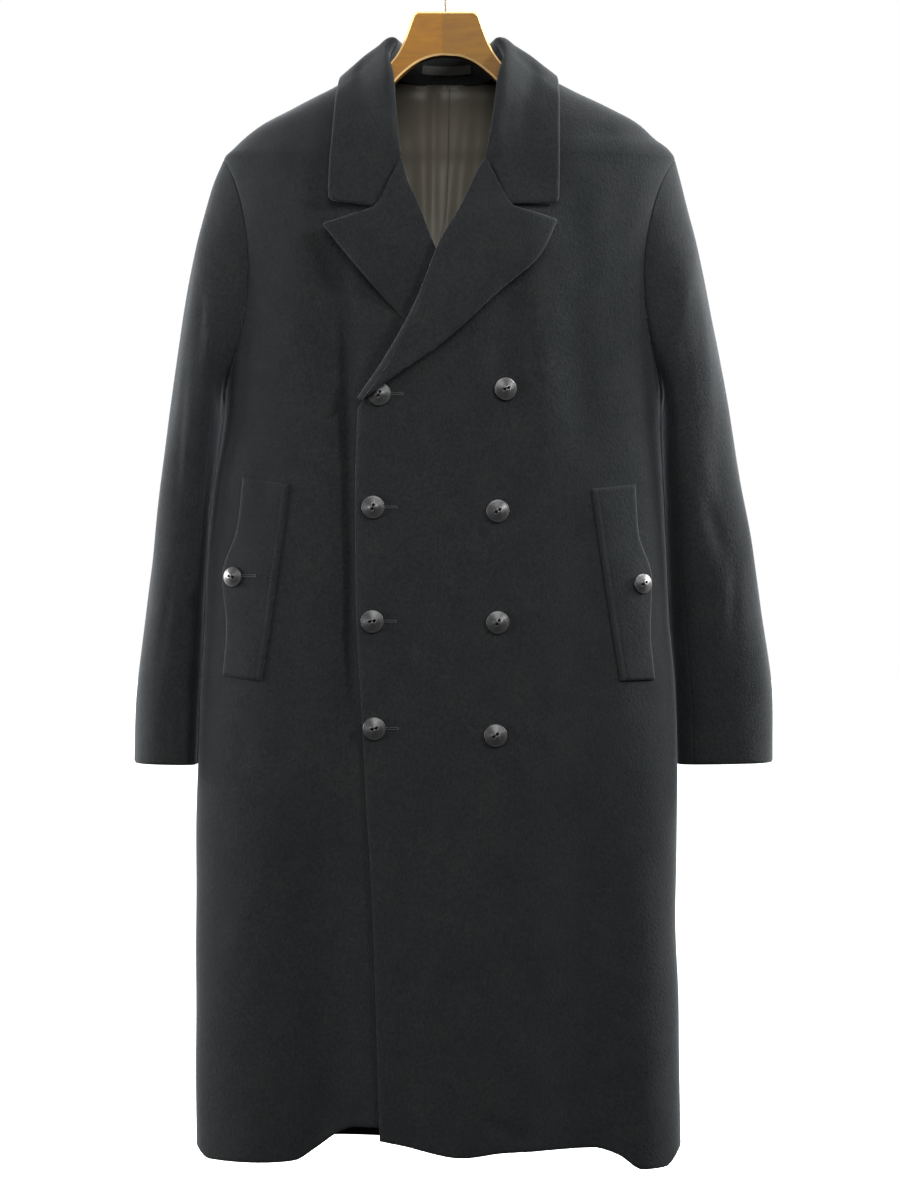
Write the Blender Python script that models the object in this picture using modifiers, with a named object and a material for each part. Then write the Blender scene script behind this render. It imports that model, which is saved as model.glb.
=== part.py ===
"""A long double-breasted overcoat with peaked lapels, hanging on a wooden hanger.

Lengths are in millimetres and MM turns them into metres. The origin is the point where the hook
bears on its rail. Seen from the front +X is to the right, the front faces -Y and +Z is up.
Left and right in the names are the wearer's, so the left front lies on the +X side.
"""
import math

import bmesh
import bpy
import numpy as np
from mathutils import Vector

MM = 0.001
OBJECT_NAME = "chesterfield_coat_on_hanger"


def table(columns, *rows):
    """One array for each named column."""
    return dict(zip(columns.split(), np.array(rows, float).T))


# Cloth and seams
CLOTH = 2.4            # wool wall
COLLAR_CLOTH = 3.0     # collar, cloth with its under collar
LINING_CLOTH = 1.0
LABEL_CLOTH = 0.6
SEAM = 0.3             # gap between two sewn pieces
LYING = 0.8            # gap under a piece that lies on another

# The coat's form as sections, from the neck to below the hem: half widths from the middle line,
# depths in front of and behind the hanger, and how square the section is (2 is an ellipse)
BODY = table(
    "z     left   right  front back  square",
    (-126, 72.0,  76.0,  24,   44,   2.0),
    (-136, 91.0,  96.0,  33,   66,   2.0),
    (-159, 134.6, 143.0, 50,   74,   2.05),
    (-175, 165.0, 178.0, 57,   78,   2.1),
    (-191, 194.0, 205.6, 63,   81,   2.15),
    (-207, 215.0, 222.6, 68,   83,   2.2),
    (-217, 225.0, 236.0, 71,   85,   2.3),
    (-228, 235.0, 243.0, 74,   86,   2.4),
    (-300, 236.0, 240.0, 82,   88,   2.7),
    (-400, 235.0, 232.0, 85,   87,   3.0),
    (-490, 233.5, 225.5, 85,   84,   3.2),
    (-588, 247.0, 230.0, 84,   80,   3.3),
    (-694, 254.0, 235.0, 82,   77,   3.4),
    (-800, 260.0, 243.0, 79,   73,   3.4),
    (-866, 262.0, 244.0, 77,   71,   3.4),
    (-1012, 264.0, 243.0, 71,  66,   3.3),
    (-1118, 265.0, 246.0, 67,  62,   3.2),
    (-1300, 263.5, 249.0, 62,  58,   3.1),
)

# Rows of the panels: neck, shoulder, armhole, then down to the hem
NECK_TOP = BODY["z"][0]
BACK_NECK = -136
SHOULDER_TIP = -228
UNDERARM = -480
SHOULDER_ROWS = (-148, -160, -173, -186, -199, -210, -220)
LOWER_ROWS = (-490, -500, -545, -600, -670, -750, -840, -930, -1020, -1110, -1190)
NECK_STEPS = 6
FRONT_COLUMNS = 13
FRONT_SPREAD = 1.3     # above 1 the columns stand closer towards the side seam
BACK_COLUMNS = 8
BACK_NECK_REACH = 0.9  # share of a back quarter that the neck's curve takes at its top
HEM_START = -1020      # below this height the rows run down to the hem's own line
HEM_EASE = 1.5
BACK_HEM = -1270
ARMHOLE_STEPS = 10
ARMHOLE_FRONT = 0.24   # how far the armhole cuts into the front and back quarters
ARMHOLE_BACK = 0.25
SIDE_SEAM = 0.12       # the side seam's share of a quarter behind the side
SIDE_SEAM_RUN = 120    # length over which it moves there from the underarm

# Largest folds of the fronts: lines from top to bottom, and ridge (+) or trough (-) heights
FRONT_FOLDS = table(
    "x_top z_top x_low z_low half_width height",
    (-125, -300, -104, -600, 26, -4.5),
    (71,   -390, 78,   -640, 22, -2.5),
    (-186, -720, -216, -1500, 46, 5.0),
    (-118, -820, -124, -1500, 36, -8.0),
    (22,   -900, 18,   -1500, 60, 4.0),
    (148,  -850, 156,  -1500, 42, -5.0),
    (206,  -900, 212,  -1500, 28, 4.0),
)
FOLD_END = 0.3         # share of a fold's length over which each end fades
FOLD_SIDE = (-5, -45)  # y between which the folds grow from nothing at the side

# Inner edge of each front: the neck seam above its lapel and the front edge below it
LEFT_NECK = table("z x", (-126, 70), (-150, 65), (-180, 59), (-210, 52), (-233, 46.5))
RIGHT_NECK = table("z x", (-126, -68), (-150, -63), (-180, -58), (-210, -53), (-233, -50))
LEFT_EDGE = table(
    "z     x",
    (-493, -84), (-501, -91), (-600, -94), (-700, -93),
    (-800, -88), (-900, -83), (-1000, -77), (-1300, -68),
)
RIGHT_EDGE = table("z x", (-500, 75), (-900, 75), (-1300, 75))
HEM_LEFT = table(
    "x    z",
    (-69, -1257), (-45, -1262), (18, -1274), (60, -1269), (155, -1266),
    (180, -1273), (205, -1289), (230, -1288), (249, BACK_HEM),
)
HEM_RIGHT = table(
    "x     z",
    (-264, BACK_HEM), (-250, -1280), (-200, -1281), (-160, -1279), (-135, -1265),
    (-110, -1248), (-95, -1243), (80, -1243),
)

# The over front stands off the form where it lies on the under front and its lapel
LAP_LIFT = CLOTH + 1.6
LAPEL_PAD = 4.4
LAP_FADE = (150, 80)         # x where the overlap has eased out, and where it is full
LAP_TOP = (-245, -320)       # heights between which the overlap begins
LAPEL_PAD_END = (-460, -600)

# Lapels: visible roll line, top edge (gorge, notch, peak) and outer edge, as places on the front,
# then the radius inside the roll and the gap under the edge, which the first button props up
LEFT_LAPEL = {
    "roll": table(
        "x z", (41, -235), (31.5, -251), (16, -285), (-6, -323), (-31, -385), (-65, -447), (-91, -485),
    ),
    "top": table("x z", (41, -235), (66, -286), (114.5, -302)),
    "edge": table(
        "x z", (114.5, -302), (97, -338), (56, -375), (-6, -431), (-47, -459), (-85, -488),
    ),
    "roll_radius": table("share radius", (0, 2.2), (0.6, 2.4), (0.86, 3.4), (1, 2.4)),
    "lying": table(
        "share height", (0, 3.0), (0.15, 4.0), (0.7, 3.0), (0.83, 8.8), (0.95, 8.8), (1, 6.0),
    ),
}
RIGHT_LAPEL = {
    "roll": table("x z", (-46, -235), (-39.5, -259), (-29.5, -281), (-10, -331), (30, -410), (60, -455)),
    "top": table("x z", (-46, -235), (-71, -287), (-126.5, -306)),
    "edge": table("x z", (-126.5, -306), (-96, -345), (-42, -405), (10, -450), (52, -470)),
    "roll_radius": table("share radius", (0, 2.2), (0.35, 1.2), (1, 0.8)),
    "lying": table("share height", (0, 6.0), (0.25, 5.0), (0.4, 2.0), (0.5, 0.8), (1, 0.8)),
}
LAPEL_ROWS = 13
LAPEL_SHARES = (0.12, 0.25, 0.42, 0.6, 0.8, 1.0)
LAPEL_FALL = 1.6       # how soon a row comes down from the roll onto the front
ROLL_STEPS = 5
ROLL_GAP = 0.9         # between a front and its lapel, along the front
ROLL_LOOK = table("share across", (0, 0.02), (1, 0.07))  # shares that give a row's direction

# Collar stations from the centre back to the front end. Behind the shoulder a station is given by
# points in space (neck seam, top of the stand) and the edge's place on the back.
COLLAR_BACK = table(
    "neck_x neck_y neck_z stand_x stand_y stand_z edge_x edge_z edge_lift",
    (0,     64,    -135.0, 0,     70,     -102,   0,     -166,  4.0),
    (30,    58,    -134.2, 26,    64,     -102,   56,    -164,  4.5),
    (53,    39,    -130.0, 44,    44,     -102,   97,    -155,  6.0),
)
COLLAR_SIDE = table(
    "neck_x neck_y neck_z stand_x stand_y stand_z edge_x edge_z edge_lift",
    (63.5,  4,     -123.5, 52,    6,      -103,   117,   -146,  6.0),
)
# In front of it the neck seam follows the front, and the others are places on the front.
COLLAR_LEFT = table(
    "neck_z stand_x stand_z stand_lift middle_x middle_z edge_x edge_z edge_lift",
    (-146,  56,     -121,   12,        85,      -140,   117,   -166,  6.5),
    (-172,  53,     -152,   9,         83,      -178,   116.5, -204,  6.5),
    (-200,  49,     -186,   6,         80,      -214,   116,   -238,  6.5),
    (-225,  44.5,   -216,   4,         73,      -252,   115.5, -266,  6.5),
    (-234,  41.7,   -234.1, 2.2,       67.6,    -284.4, 115.5, -285,  6.5),
)
COLLAR_RIGHT = table(
    "neck_z stand_x stand_z stand_lift middle_x middle_z edge_x edge_z edge_lift",
    (-146,  -55,    -121,   12,        -84,     -140,   -113,  -166,  7.0),
    (-172,  -53,    -152,   9,         -84,     -176,   -115.5, -202, 7.5),
    (-200,  -51,    -186,   6,         -83,     -212,   -118,  -234,  8.0),
    (-225,  -48.5,  -216,   4,         -78,     -251,   -119.5, -262, 8.0),
    (-234,  -46.7,  -234.1, 2.2,       -72.3,   -286.0, -120,  -282,  8.0),
)
COLLAR_ROLL = 4.6
COLLAR_ROWS = 27
COLLAR_MIDDLE_LIFT = 6.6

# Sleeves from the armhole to the cuff: outer and inner line, middle and half depth
RIGHT_SLEEVE = table(
    "along outer_x outer_z inner_x inner_z middle_y half_depth",
    (0.00, -235,   -228,   -233.5, -480,   4,       60),
    (0.08, -247,   -257,   -236,   -487,   7,       66),
    (0.20, -262,   -312,   -236,   -507,   12,      72),
    (0.35, -277,   -390,   -239,   -548,   17,      75),
    (0.50, -291,   -488,   -244,   -603,   20,      73),
    (0.65, -304,   -592,   -248,   -668,   21,      70),
    (0.80, -317,   -698,   -252,   -738,   22,      66),
    (0.92, -329,   -802,   -256,   -816,   22,      63),
    (1.00, -332,   -866,   -257,   -868,   22,      62),
)
LEFT_SLEEVE = table(
    "along outer_x outer_z inner_x inner_z middle_y half_depth",
    (0.00, 243,    -228,   226,    -480,   4,       60),
    (0.08, 251,    -260,   228,    -487,   7,       66),
    (0.20, 264,    -312,   226,    -507,   12,      70),
    (0.35, 281,    -390,   226,    -548,   17,      70),
    (0.50, 300,    -488,   228,    -603,   19,      66),
    (0.65, 316,    -592,   230.5,  -668,   19,      61),
    (0.80, 333,    -698,   234.5,  -738,   19,      55),
    (0.92, 347,    -800,   239,    -816,   19,      50),
    (1.00, 348,    -866,   240,    -868,   19,      48),
)
SLEEVE_ROWS = (0, 0.04, 0.08, 0.14, 0.2, 0.28, 0.36, 0.45, 0.54, 0.63, 0.72, 0.81, 0.9, 0.96, 1.0)
SLEEVE_SQUARE = 2.5
SLEEVE_CLEAR = 2.2           # from the body where the sleeve lies against it
SLEEVE_GIVE = 5.0            # how softly it bends round the body there
SLEEVE_CLEAR_FROM = 0.12     # share of the sleeve where it has come clear of its armhole
ARMHOLE_FADE = 0.22          # share of the sleeve that takes over from the armhole's own curve
SLEEVE_SEWN = 0.03           # share of the sleeve that lies square to the shoulder at the seam
FRONT_SLEEVE_SEAM = 126      # degrees round the sleeve, from the shoulder over the front
BACK_SLEEVE_SEAM = 252
SLEEVE_FOLDS = table(
    "side along angle half_along half_angle height",
    (-1,  0.24, 70,   0.13,      20,        -5),
    (-1,  0.62, 40,   0.10,      24,        3),
    (1,   0.58, 62,   0.10,      22,        -6),
    (1,   0.70, 30,   0.09,      20,        4),
)

# Pocket welts: inner edge and waved outer edge on the fronts
LEFT_WELT = table(
    "share inner_x inner_z outer_x outer_z",
    (0.0,  151,    -579,   196.5,  -574),
    (0.25, 158,    -629,   200,    -624),
    (0.5,  165.5,  -679,   214,    -672),
    (0.75, 173,    -728,   212,    -725),
    (1.0,  181,    -778,   217,    -777),
)
RIGHT_WELT = table(
    "share inner_x inner_z outer_x outer_z",
    (0.0,  -163,   -574,   -210,   -567),
    (0.25, -169,   -625,   -216,   -618),
    (0.5,  -176,   -676,   -232,   -670),
    (0.75, -183,   -727,   -228,   -722),
    (1.0,  -191,   -778,   -232,   -772),
)
WELT_ROWS = 10
WELT_COLUMNS = 4

# Buttons: turned cones with a rounded rim
FRONT_BUTTON = 24.0          # across
POCKET_BUTTON = 21.0
BUTTON_SIDES = 16
BUTTON_GAP = 0.56
BUTTONS = (
    ("button_right_1", -68.5, -481.5), ("button_right_2", -75, -598),
    ("button_right_3", -76, -716), ("button_right_4", -74, -827),
    ("button_left_1", 61, -476), ("button_left_2", 53.5, -602),
    ("button_left_3", 53.5, -717), ("button_left_4", 51.5, -834),
)
POCKET_BUTTONS = (("pocket_button_right", -220, -670), ("pocket_button_left", 203, -677))
# Profile of a button as shares of its radius, from the rim's back to the top
BUTTON_PROFILE = table(
    "radius height",
    (0.0, 0.58), (0.10, 0.57), (0.45, 0.38), (0.86, 0.20),
    (0.98, 0.14), (1.0, 0.07), (0.93, 0.0), (0.0, 0.0),
)

# Lining and label inside the neck
LINING_TOP = -137
LINING_LOW = -440
LINING_SHARE = 0.56          # of the back quarters, each side of the centre back
LINING_ROWS = 10
LINING_COLUMNS = 11
LABEL_WIDTH = 50
LABEL_GAP = 0.5
LABEL_SHARE = (0.28, 0.5)   # of the stand's height

# Hanger
HANGER_JOINT = -4.0          # where the two halves are glued
HANGER_TOP = -72.0
HANGER_DEPTH = 22.0
HANGER_ROUND = 5.0
HANGER_NECK = table("x z", (30, -72), (34, -75), (39, -88), (46, -106), (54, -120), (65, -131))
HANGER_ARCH = table("x z", (44, -136), (27, -124), (12, -119))
ARCH_PEAK = -118.0
ARM_START = 84.0
ARM_END = 200.0
ARM_STEPS = 9
ARM_UNDER_CLOTH = 5.6        # the arm's top below the coat's shoulder line
ARM_HEIGHT = 30.0
ARM_SLANT = 9.0              # how far the arm's underside is set in from its top
ARM_TIP = table("out down", (5, 10), (1, 23))
WIRE = 3.2
HOOK_INSIDE = 17.0           # radius inside the hook
HOOK_ANGLES = (-35, 205)     # from the tip, over the top, to where the wire turns back
HOOK_STEPS = 15
HOOK_FOOT = 14.0             # length of the straight wire above the wood
HOOK_PULL = (6.5, -14.5)     # guides of the bend between the round top and the foot
FOOT_PULL = (0.0, 12.0)

# Colours from the photograph, in linear light
WOOL = (0.021, 0.023, 0.024)
SATIN = (0.065, 0.058, 0.047)
HORN = (0.10, 0.095, 0.09)
LIGHT_WOOD = (0.41, 0.20, 0.045)
DARK_WOOD = (0.20, 0.10, 0.037)
WIRE_BROWN = (0.05, 0.04, 0.035)
LABEL_GREY = (0.09, 0.095, 0.09)


def follow(keys, values, at):
    """Read a smooth curve through the points of two columns that never overshoots them."""
    order = np.argsort(keys)
    key = keys[order]
    value = values[order]
    step = np.diff(key)
    slope = np.diff(value) / step
    middle = np.zeros(len(key) - 2)
    same_way = slope[:-1] * slope[1:] > 0
    middle[same_way] = 2 / (1 / slope[:-1][same_way] + 1 / slope[1:][same_way])
    tangent = np.concatenate((slope[:1], middle, slope[-1:]))
    at = np.clip(np.asarray(at, float), key[0], key[-1])
    i = np.clip(np.searchsorted(key, at, side="right") - 1, 0, len(step) - 1)
    t = (at - key[i]) / step[i]
    rise = value[i] * (1 + 2 * t) * (1 - t) ** 2 + value[i + 1] * t * t * (3 - 2 * t)
    bend = step[i] * (tangent[i] * t * (1 - t) ** 2 + tangent[i + 1] * t * t * (t - 1))
    return rise + bend


def ease(start, end, value):
    """Rise smoothly from 0 at start to 1 at end."""
    t = np.clip((np.asarray(value, float) - start) / (end - start), 0, 1)
    return t * t * (3 - 2 * t)


def unit(vectors):
    return vectors / np.linalg.norm(vectors, axis=-1, keepdims=True)


# The coat's form. A place on it is q and a height: q runs 0 to 4 round the section, from the
# -X side over the front (1) to the +X side (2), the centre back (3) and home.
ROUND_QUARTER = np.linspace(0, math.pi / 2, 129)


def body_at(column, z):
    """One measure of the body's section at a height."""
    return follow(BODY["z"], BODY[column], z)


def quarter(width, depth, square):
    """Points round a quarter of a section from its side to its middle, with shares of its length."""
    power = square[..., None]
    cosine = np.cos(ROUND_QUARTER).clip(0)
    sine = np.sin(ROUND_QUARTER)
    reach = (cosine ** power + sine ** power) ** (-1 / power)
    across = width[..., None] * cosine * reach
    deep = depth[..., None] * sine * reach
    length = np.cumsum(np.hypot(np.diff(across), np.diff(deep)), axis=-1)
    share = np.concatenate((np.zeros_like(length[..., :1]), length), axis=-1) / length[..., -1:]
    return across, deep, share


def read_rows(keys, values, at):
    """Read each row of values where the same row of rising keys reaches at."""
    k = np.clip((keys < at[..., None]).sum(-1), 1, keys.shape[-1] - 1)[..., None]
    low = np.take_along_axis(keys, k - 1, -1)
    high = np.take_along_axis(keys, k, -1)
    t = np.clip((at[..., None] - low) / (high - low), 0, 1)
    value = np.take_along_axis(values, k - 1, -1) * (1 - t) + np.take_along_axis(values, k, -1) * t
    return value[..., 0]


def form(q, z):
    """Point of the bare form at q and height z."""
    q, z = np.broadcast_arrays(np.mod(np.asarray(q, float), 4), np.asarray(z, float))
    minus_x = (q < 1) | (q >= 3)
    front = q < 2
    width = np.where(minus_x, body_at("left", z), body_at("right", z))
    depth = np.where(front, body_at("front", z), body_at("back", z))
    from_side = np.where(minus_x, np.minimum(q, 4 - q), np.abs(q - 2))
    across, deep, share = quarter(width, depth, body_at("square", z))
    x = read_rows(share, across, from_side) * np.where(minus_x, -1, 1)
    y = read_rows(share, deep, from_side) * np.where(front, -1, 1)
    return np.stack((x, y, z), axis=-1)


def outward(q, z):
    """Direction that points out of the form."""
    small_q = 0.004
    small_z = 0.6
    round_it = form(q + small_q, z) - form(q - small_q, z)
    down = form(q, z - small_z) - form(q, z + small_z)
    return unit(np.cross(down, round_it))


def front_folds(point):
    """Height of the fronts' large folds at points of the form."""
    x = point[..., 0]
    z = point[..., 2]
    height = np.zeros_like(x)
    for i in range(len(FRONT_FOLDS["height"])):
        fold = {name: column[i] for name, column in FRONT_FOLDS.items()}
        along = (fold["z_top"] - z) / (fold["z_top"] - fold["z_low"])
        middle = fold["x_top"] + (fold["x_low"] - fold["x_top"]) * along
        window = ease(0, FOLD_END, along) * (1 - ease(1 - FOLD_END, 1, along))
        height = height + fold["height"] * window * np.exp(-((x - middle) / fold["half_width"]) ** 2)
    return height * ease(*FOLD_SIDE, point[..., 1])


def cloth(q, z, lift):
    """Point of the coat's outer face at q and z, moved out by lift."""
    point = form(q, z)
    return point + outward(q, z) * (lift + front_folds(point))[..., None]


def share_from_side(x, z, depth_name):
    """Share of a quarter, from its side, of the place that is x from the middle line."""
    x, z = np.broadcast_arrays(np.asarray(x, float), np.asarray(z, float))
    width = np.where(x < 0, body_at("left", z), body_at("right", z))
    depth = body_at(depth_name, z)
    across, deep, share = quarter(width, depth, body_at("square", z))
    return read_rows(-across, share, -np.abs(x))


def front_q(x, z):
    """The q of the place on the front that is x from the middle line."""
    from_side = share_from_side(x, z, "front")
    return np.where(np.asarray(x) < 0, from_side, 2 - from_side)


def back_q(x, z):
    """The q of the place on the back that is x from the middle line."""
    from_side = share_from_side(x, z, "back")
    return np.where(np.asarray(x) < 0, 4 - from_side, 2 + from_side)


def over_lift(x, z):
    """How far the over front stands off the form."""
    across = ease(*LAP_FADE, x)
    down = ease(*LAP_TOP, z)
    pad = 1 - ease(*LAPEL_PAD_END, z)
    return (LAP_LIFT + LAPEL_PAD * pad) * across * down


def base_lift(side, x, z):
    """Lift of the front's outer face: the +X front lies over the other one."""
    if side > 0:
        return over_lift(x, z)
    return np.zeros_like(np.asarray(x, float) + np.asarray(z, float))


def on_front(side, x, z, lift):
    """Place on the outer face of one front, moved out by lift."""
    q = front_q(x, z)
    return cloth(q, np.broadcast_to(z, q.shape), base_lift(side, x, z) + lift)


# Solids
def material(name, colour, roughness, metallic=0.0):
    if name in bpy.data.materials:
        return bpy.data.materials[name]
    made = bpy.data.materials.new(name)
    made.use_nodes = True
    shader = made.node_tree.nodes["Principled BSDF"]
    shader.inputs["Base Color"].default_value = (*colour, 1)
    shader.inputs["Roughness"].default_value = roughness
    shader.inputs["Metallic"].default_value = metallic
    return made


def wool():
    return material("wool", WOOL, 0.9)


def place(name, data, look):
    """Add an object to the coat's collection."""
    made = bpy.data.objects.new(name, data)
    data.materials.append(look)
    parts.objects.link(made)
    return made


def wall(name, outer, inner, look):
    """A closed wall lofted between two matching grids of points (rows, columns, 3)."""
    rows, columns = outer.shape[:2]
    mesh = bpy.data.meshes.new(name)
    bm = bmesh.new()
    faces = [[[bm.verts.new(point * MM) for point in row] for row in grid] for grid in (outer, inner)]
    for grid in faces:
        for i in range(rows - 1):
            for j in range(columns - 1):
                bm.faces.new((grid[i][j], grid[i][j + 1], grid[i + 1][j + 1], grid[i + 1][j]))
    rim = [(0, j) for j in range(columns)]
    rim += [(i, columns - 1) for i in range(1, rows)]
    rim += [(rows - 1, j) for j in range(columns - 2, -1, -1)]
    rim += [(i, 0) for i in range(rows - 2, 0, -1)]
    for (i, j), (k, m) in zip(rim, rim[1:] + rim[:1]):
        bm.faces.new((faces[0][i][j], faces[0][k][m], faces[1][k][m], faces[1][i][j]))
    bmesh.ops.recalc_face_normals(bm, faces=bm.faces)
    bm.to_mesh(mesh)
    bm.free()
    mesh.shade_smooth()
    mesh.set_sharp_from_angle(angle=math.radians(50))
    return place(name, mesh, look)


# Fronts and backs
def panel_rows():
    """Heights of the rows that all four panels share, so that their seams match."""
    neck_shares = np.linspace(0, 1, NECK_STEPS)
    neck = BACK_NECK + (NECK_TOP - BACK_NECK) * (1 - neck_shares) ** 2
    middle = (SHOULDER_TIP + UNDERARM) / 2
    half = (SHOULDER_TIP - UNDERARM) / 2
    armhole = middle + half * np.cos(np.linspace(0, math.pi, ARMHOLE_STEPS + 1))
    return np.concatenate((neck, SHOULDER_ROWS, armhole, LOWER_ROWS, (BACK_HEM,)))


def armhole_share(z):
    """How far round the armhole's cut is at a height: 0 at the shoulder and underarm, 1 between."""
    middle = (SHOULDER_TIP + UNDERARM) / 2
    half = (SHOULDER_TIP - UNDERARM) / 2
    return np.sqrt(np.clip(1 - ((z - middle) / half) ** 2, 0, 1))


def side_share(z):
    """How far behind the side the side seam runs."""
    return SIDE_SEAM * ease(UNDERARM, UNDERARM - SIDE_SEAM_RUN, z)


def seam_share(gap):
    """A seam's half gap as a share of a quarter of the section."""
    quarter_length = BODY["left"][-1] + BODY["front"][-1] / 2
    return gap / 2 / quarter_length


def hem_rows(rows, x, hem):
    """Let the lowest rows run down to the hem's own line."""
    hem_z = follow(hem["x"], hem["z"], x)
    share = np.clip((HEM_START - rows) / (HEM_START - BACK_HEM), 0, 1)
    return rows + (hem_z - BACK_HEM) * share ** HEM_EASE


def front_panel(name, side, hem):
    rows = panel_rows()[:, None]
    start = front_q(inner_edge(side, rows), rows)
    cut = ARMHOLE_FRONT * armhole_share(rows) - side_share(rows) + seam_share(SEAM)
    end = cut if side < 0 else 2 - cut
    share = 1 - (1 - np.linspace(0, 1, FRONT_COLUMNS)[None, :]) ** FRONT_SPREAD
    q = start + (end - start) * share
    place_x = form(q, rows)[..., 0]
    z = hem_rows(np.broadcast_to(rows, q.shape), place_x, hem)
    lift = base_lift(side, place_x, z)
    wall(name, cloth(q, z, lift), cloth(q, z, lift - CLOTH), wool())


def back_panel(name, side):
    rows = panel_rows()[:, None]
    neck = np.sqrt(np.clip((rows - BACK_NECK) / (NECK_TOP - BACK_NECK), 0, 1))
    middle = BACK_NECK_REACH * neck + seam_share(SEAM)
    cut = ARMHOLE_BACK * armhole_share(rows) + side_share(rows) + seam_share(SEAM)
    start = 3 - side * middle
    end = 2 + cut if side > 0 else 4 - cut
    share = np.linspace(0, 1, BACK_COLUMNS)[None, :]
    q = start + (end - start) * share
    z = np.broadcast_to(rows, q.shape)
    zero = np.zeros_like(z)
    wall(name, cloth(q, z, zero), cloth(q, z, zero - CLOTH), wool())


# Lapels
def along_line(line, share):
    """Place on a line of points at shares of its length."""
    length = np.concatenate(([0], np.cumsum(np.hypot(np.diff(line["x"]), np.diff(line["z"])))))
    at = np.asarray(share, float) * length[-1]
    return np.stack((follow(length, line["x"], at), follow(length, line["z"], at)), axis=-1)


def lapel_row(shape, share, across):
    """Place on the front of a row's point, at a share of the row from the roll line to the edge."""
    roll = along_line(shape["roll"], share)
    edge = along_line(shape["edge"], share)
    top = along_line(shape["top"], across)
    top_line = along_line(shape["top"], 0) * (1 - across) + along_line(shape["top"], 1) * across
    return roll * (1 - across) + edge * across + (top - top_line) * (1 - share) ** 2


def roll_start(shape, share):
    """A row's place on the visible roll line, its direction from there, and the radius of its roll."""
    start = lapel_row(shape, share, 0.0)
    toward = unit(lapel_row(shape, share, np.interp(share, *ROLL_LOOK.values())) - start)
    return start, toward, follow(*shape["roll_radius"].values(), share)


def inner_edge(side, z):
    """Where a front ends at a height: its neck seam, the sewn side of its lapel's roll, or its edge."""
    neck, shape, edge = RIGHT_NECK, RIGHT_LAPEL, RIGHT_EDGE
    if side > 0:
        neck, shape, edge = LEFT_NECK, LEFT_LAPEL, LEFT_EDGE
    roll = []
    for share in np.linspace(0, 1, LAPEL_ROWS):
        start, toward, radius = roll_start(shape, share)
        roll.append(start + toward * (radius + CLOTH))
    roll_x, roll_z = np.array(roll).T
    keys = np.concatenate((neck["z"], roll_z, edge["z"]))
    values = np.concatenate((neck["x"], roll_x + side * ROLL_GAP, edge["x"]))
    return np.interp(-np.asarray(z), -keys, values)


def lapel(name, side, shape):
    """A wall that turns round the roll line and lies back on the front."""
    outer = []
    inner = []
    for share in np.linspace(0, 1, LAPEL_ROWS):
        start, toward, radius = roll_start(shape, share)
        width = np.linalg.norm(lapel_row(shape, share, 1.0) - start)
        lying = follow(*shape["lying"].values(), share)
        turn = np.radians(np.linspace(-90, -270, ROLL_STEPS))
        for points, bend, low in ((outer, radius + CLOTH, -CLOTH), (inner, radius, 0.0)):
            centre = radius + CLOTH
            row = []
            for angle in turn:
                spot = start + toward * (centre + bend * np.cos(angle))
                row.append((*spot, low + bend + bend * np.sin(angle)))
            top = low + 2 * bend
            rest = lying - low
            for across in LAPEL_SHARES:
                spot = lapel_row(shape, share, across)
                if across * width <= centre + 1:
                    spot = start + toward * (centre + 1 + across)
                row.append((*spot, rest + (top - rest) * (1 - across) ** LAPEL_FALL))
            points.append(row)
    outer = np.array(outer)
    inner = np.array(inner)
    grids = [on_front(side, grid[..., 0], grid[..., 1], grid[..., 2]) for grid in (outer, inner)]
    wall(name, grids[0], grids[1], wool())


# Collar
def collar_station(neck, stand, middle, edge):
    """Points of the collar's visible face at one station, from the neck seam to the edge."""
    up = unit(stand - neck)
    over = middle - stand
    over = unit(over - np.dot(over, up) * up)
    centre = stand + COLLAR_ROLL * over
    row = [neck, (neck + stand) / 2]
    for angle in np.radians((0, 45, 90, 135)):
        row.append(centre + COLLAR_ROLL * (np.sin(angle) * up - np.cos(angle) * over))
    last = row[-1]
    row += [last + (middle - last) * 0.5, middle, middle + (edge - middle) * 0.5, edge]
    return row


def collar_half(side, front):
    """Stations of one half, from the centre back to the front end."""
    stations = []
    mirror = np.array((side, 1, 1))
    for back in (COLLAR_BACK, COLLAR_SIDE):
        for i in range(len(back["neck_x"])):
            spot = {name: column[i] for name, column in back.items()}
            neck = np.array((spot["neck_x"], spot["neck_y"], spot["neck_z"])) * mirror
            stand = np.array((spot["stand_x"], spot["stand_y"], spot["stand_z"])) * mirror
            q = back_q(side * spot["edge_x"], spot["edge_z"])
            edge = cloth(q, np.array(spot["edge_z"]), np.array(spot["edge_lift"]))
            middle = (stand + edge) / 2 + COLLAR_MIDDLE_LIFT * outward(q, np.array(spot["edge_z"]))
            stations.append(collar_station(neck, stand, middle, edge))
    for i in range(len(front["neck_z"])):
        spot = {name: column[i] for name, column in front.items()}
        neck_x = inner_edge(side, spot["neck_z"]) - side * (SEAM + COLLAR_CLOTH)
        neck = on_front(side, neck_x, spot["neck_z"] + SEAM, -CLOTH)
        stand = on_front(side, spot["stand_x"], spot["stand_z"], spot["stand_lift"])
        middle = on_front(side, spot["middle_x"], spot["middle_z"], COLLAR_MIDDLE_LIFT)
        edge = on_front(side, spot["edge_x"], spot["edge_z"], spot["edge_lift"])
        stations.append(collar_station(neck, stand, middle, edge))
    return np.array(stations)


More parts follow.
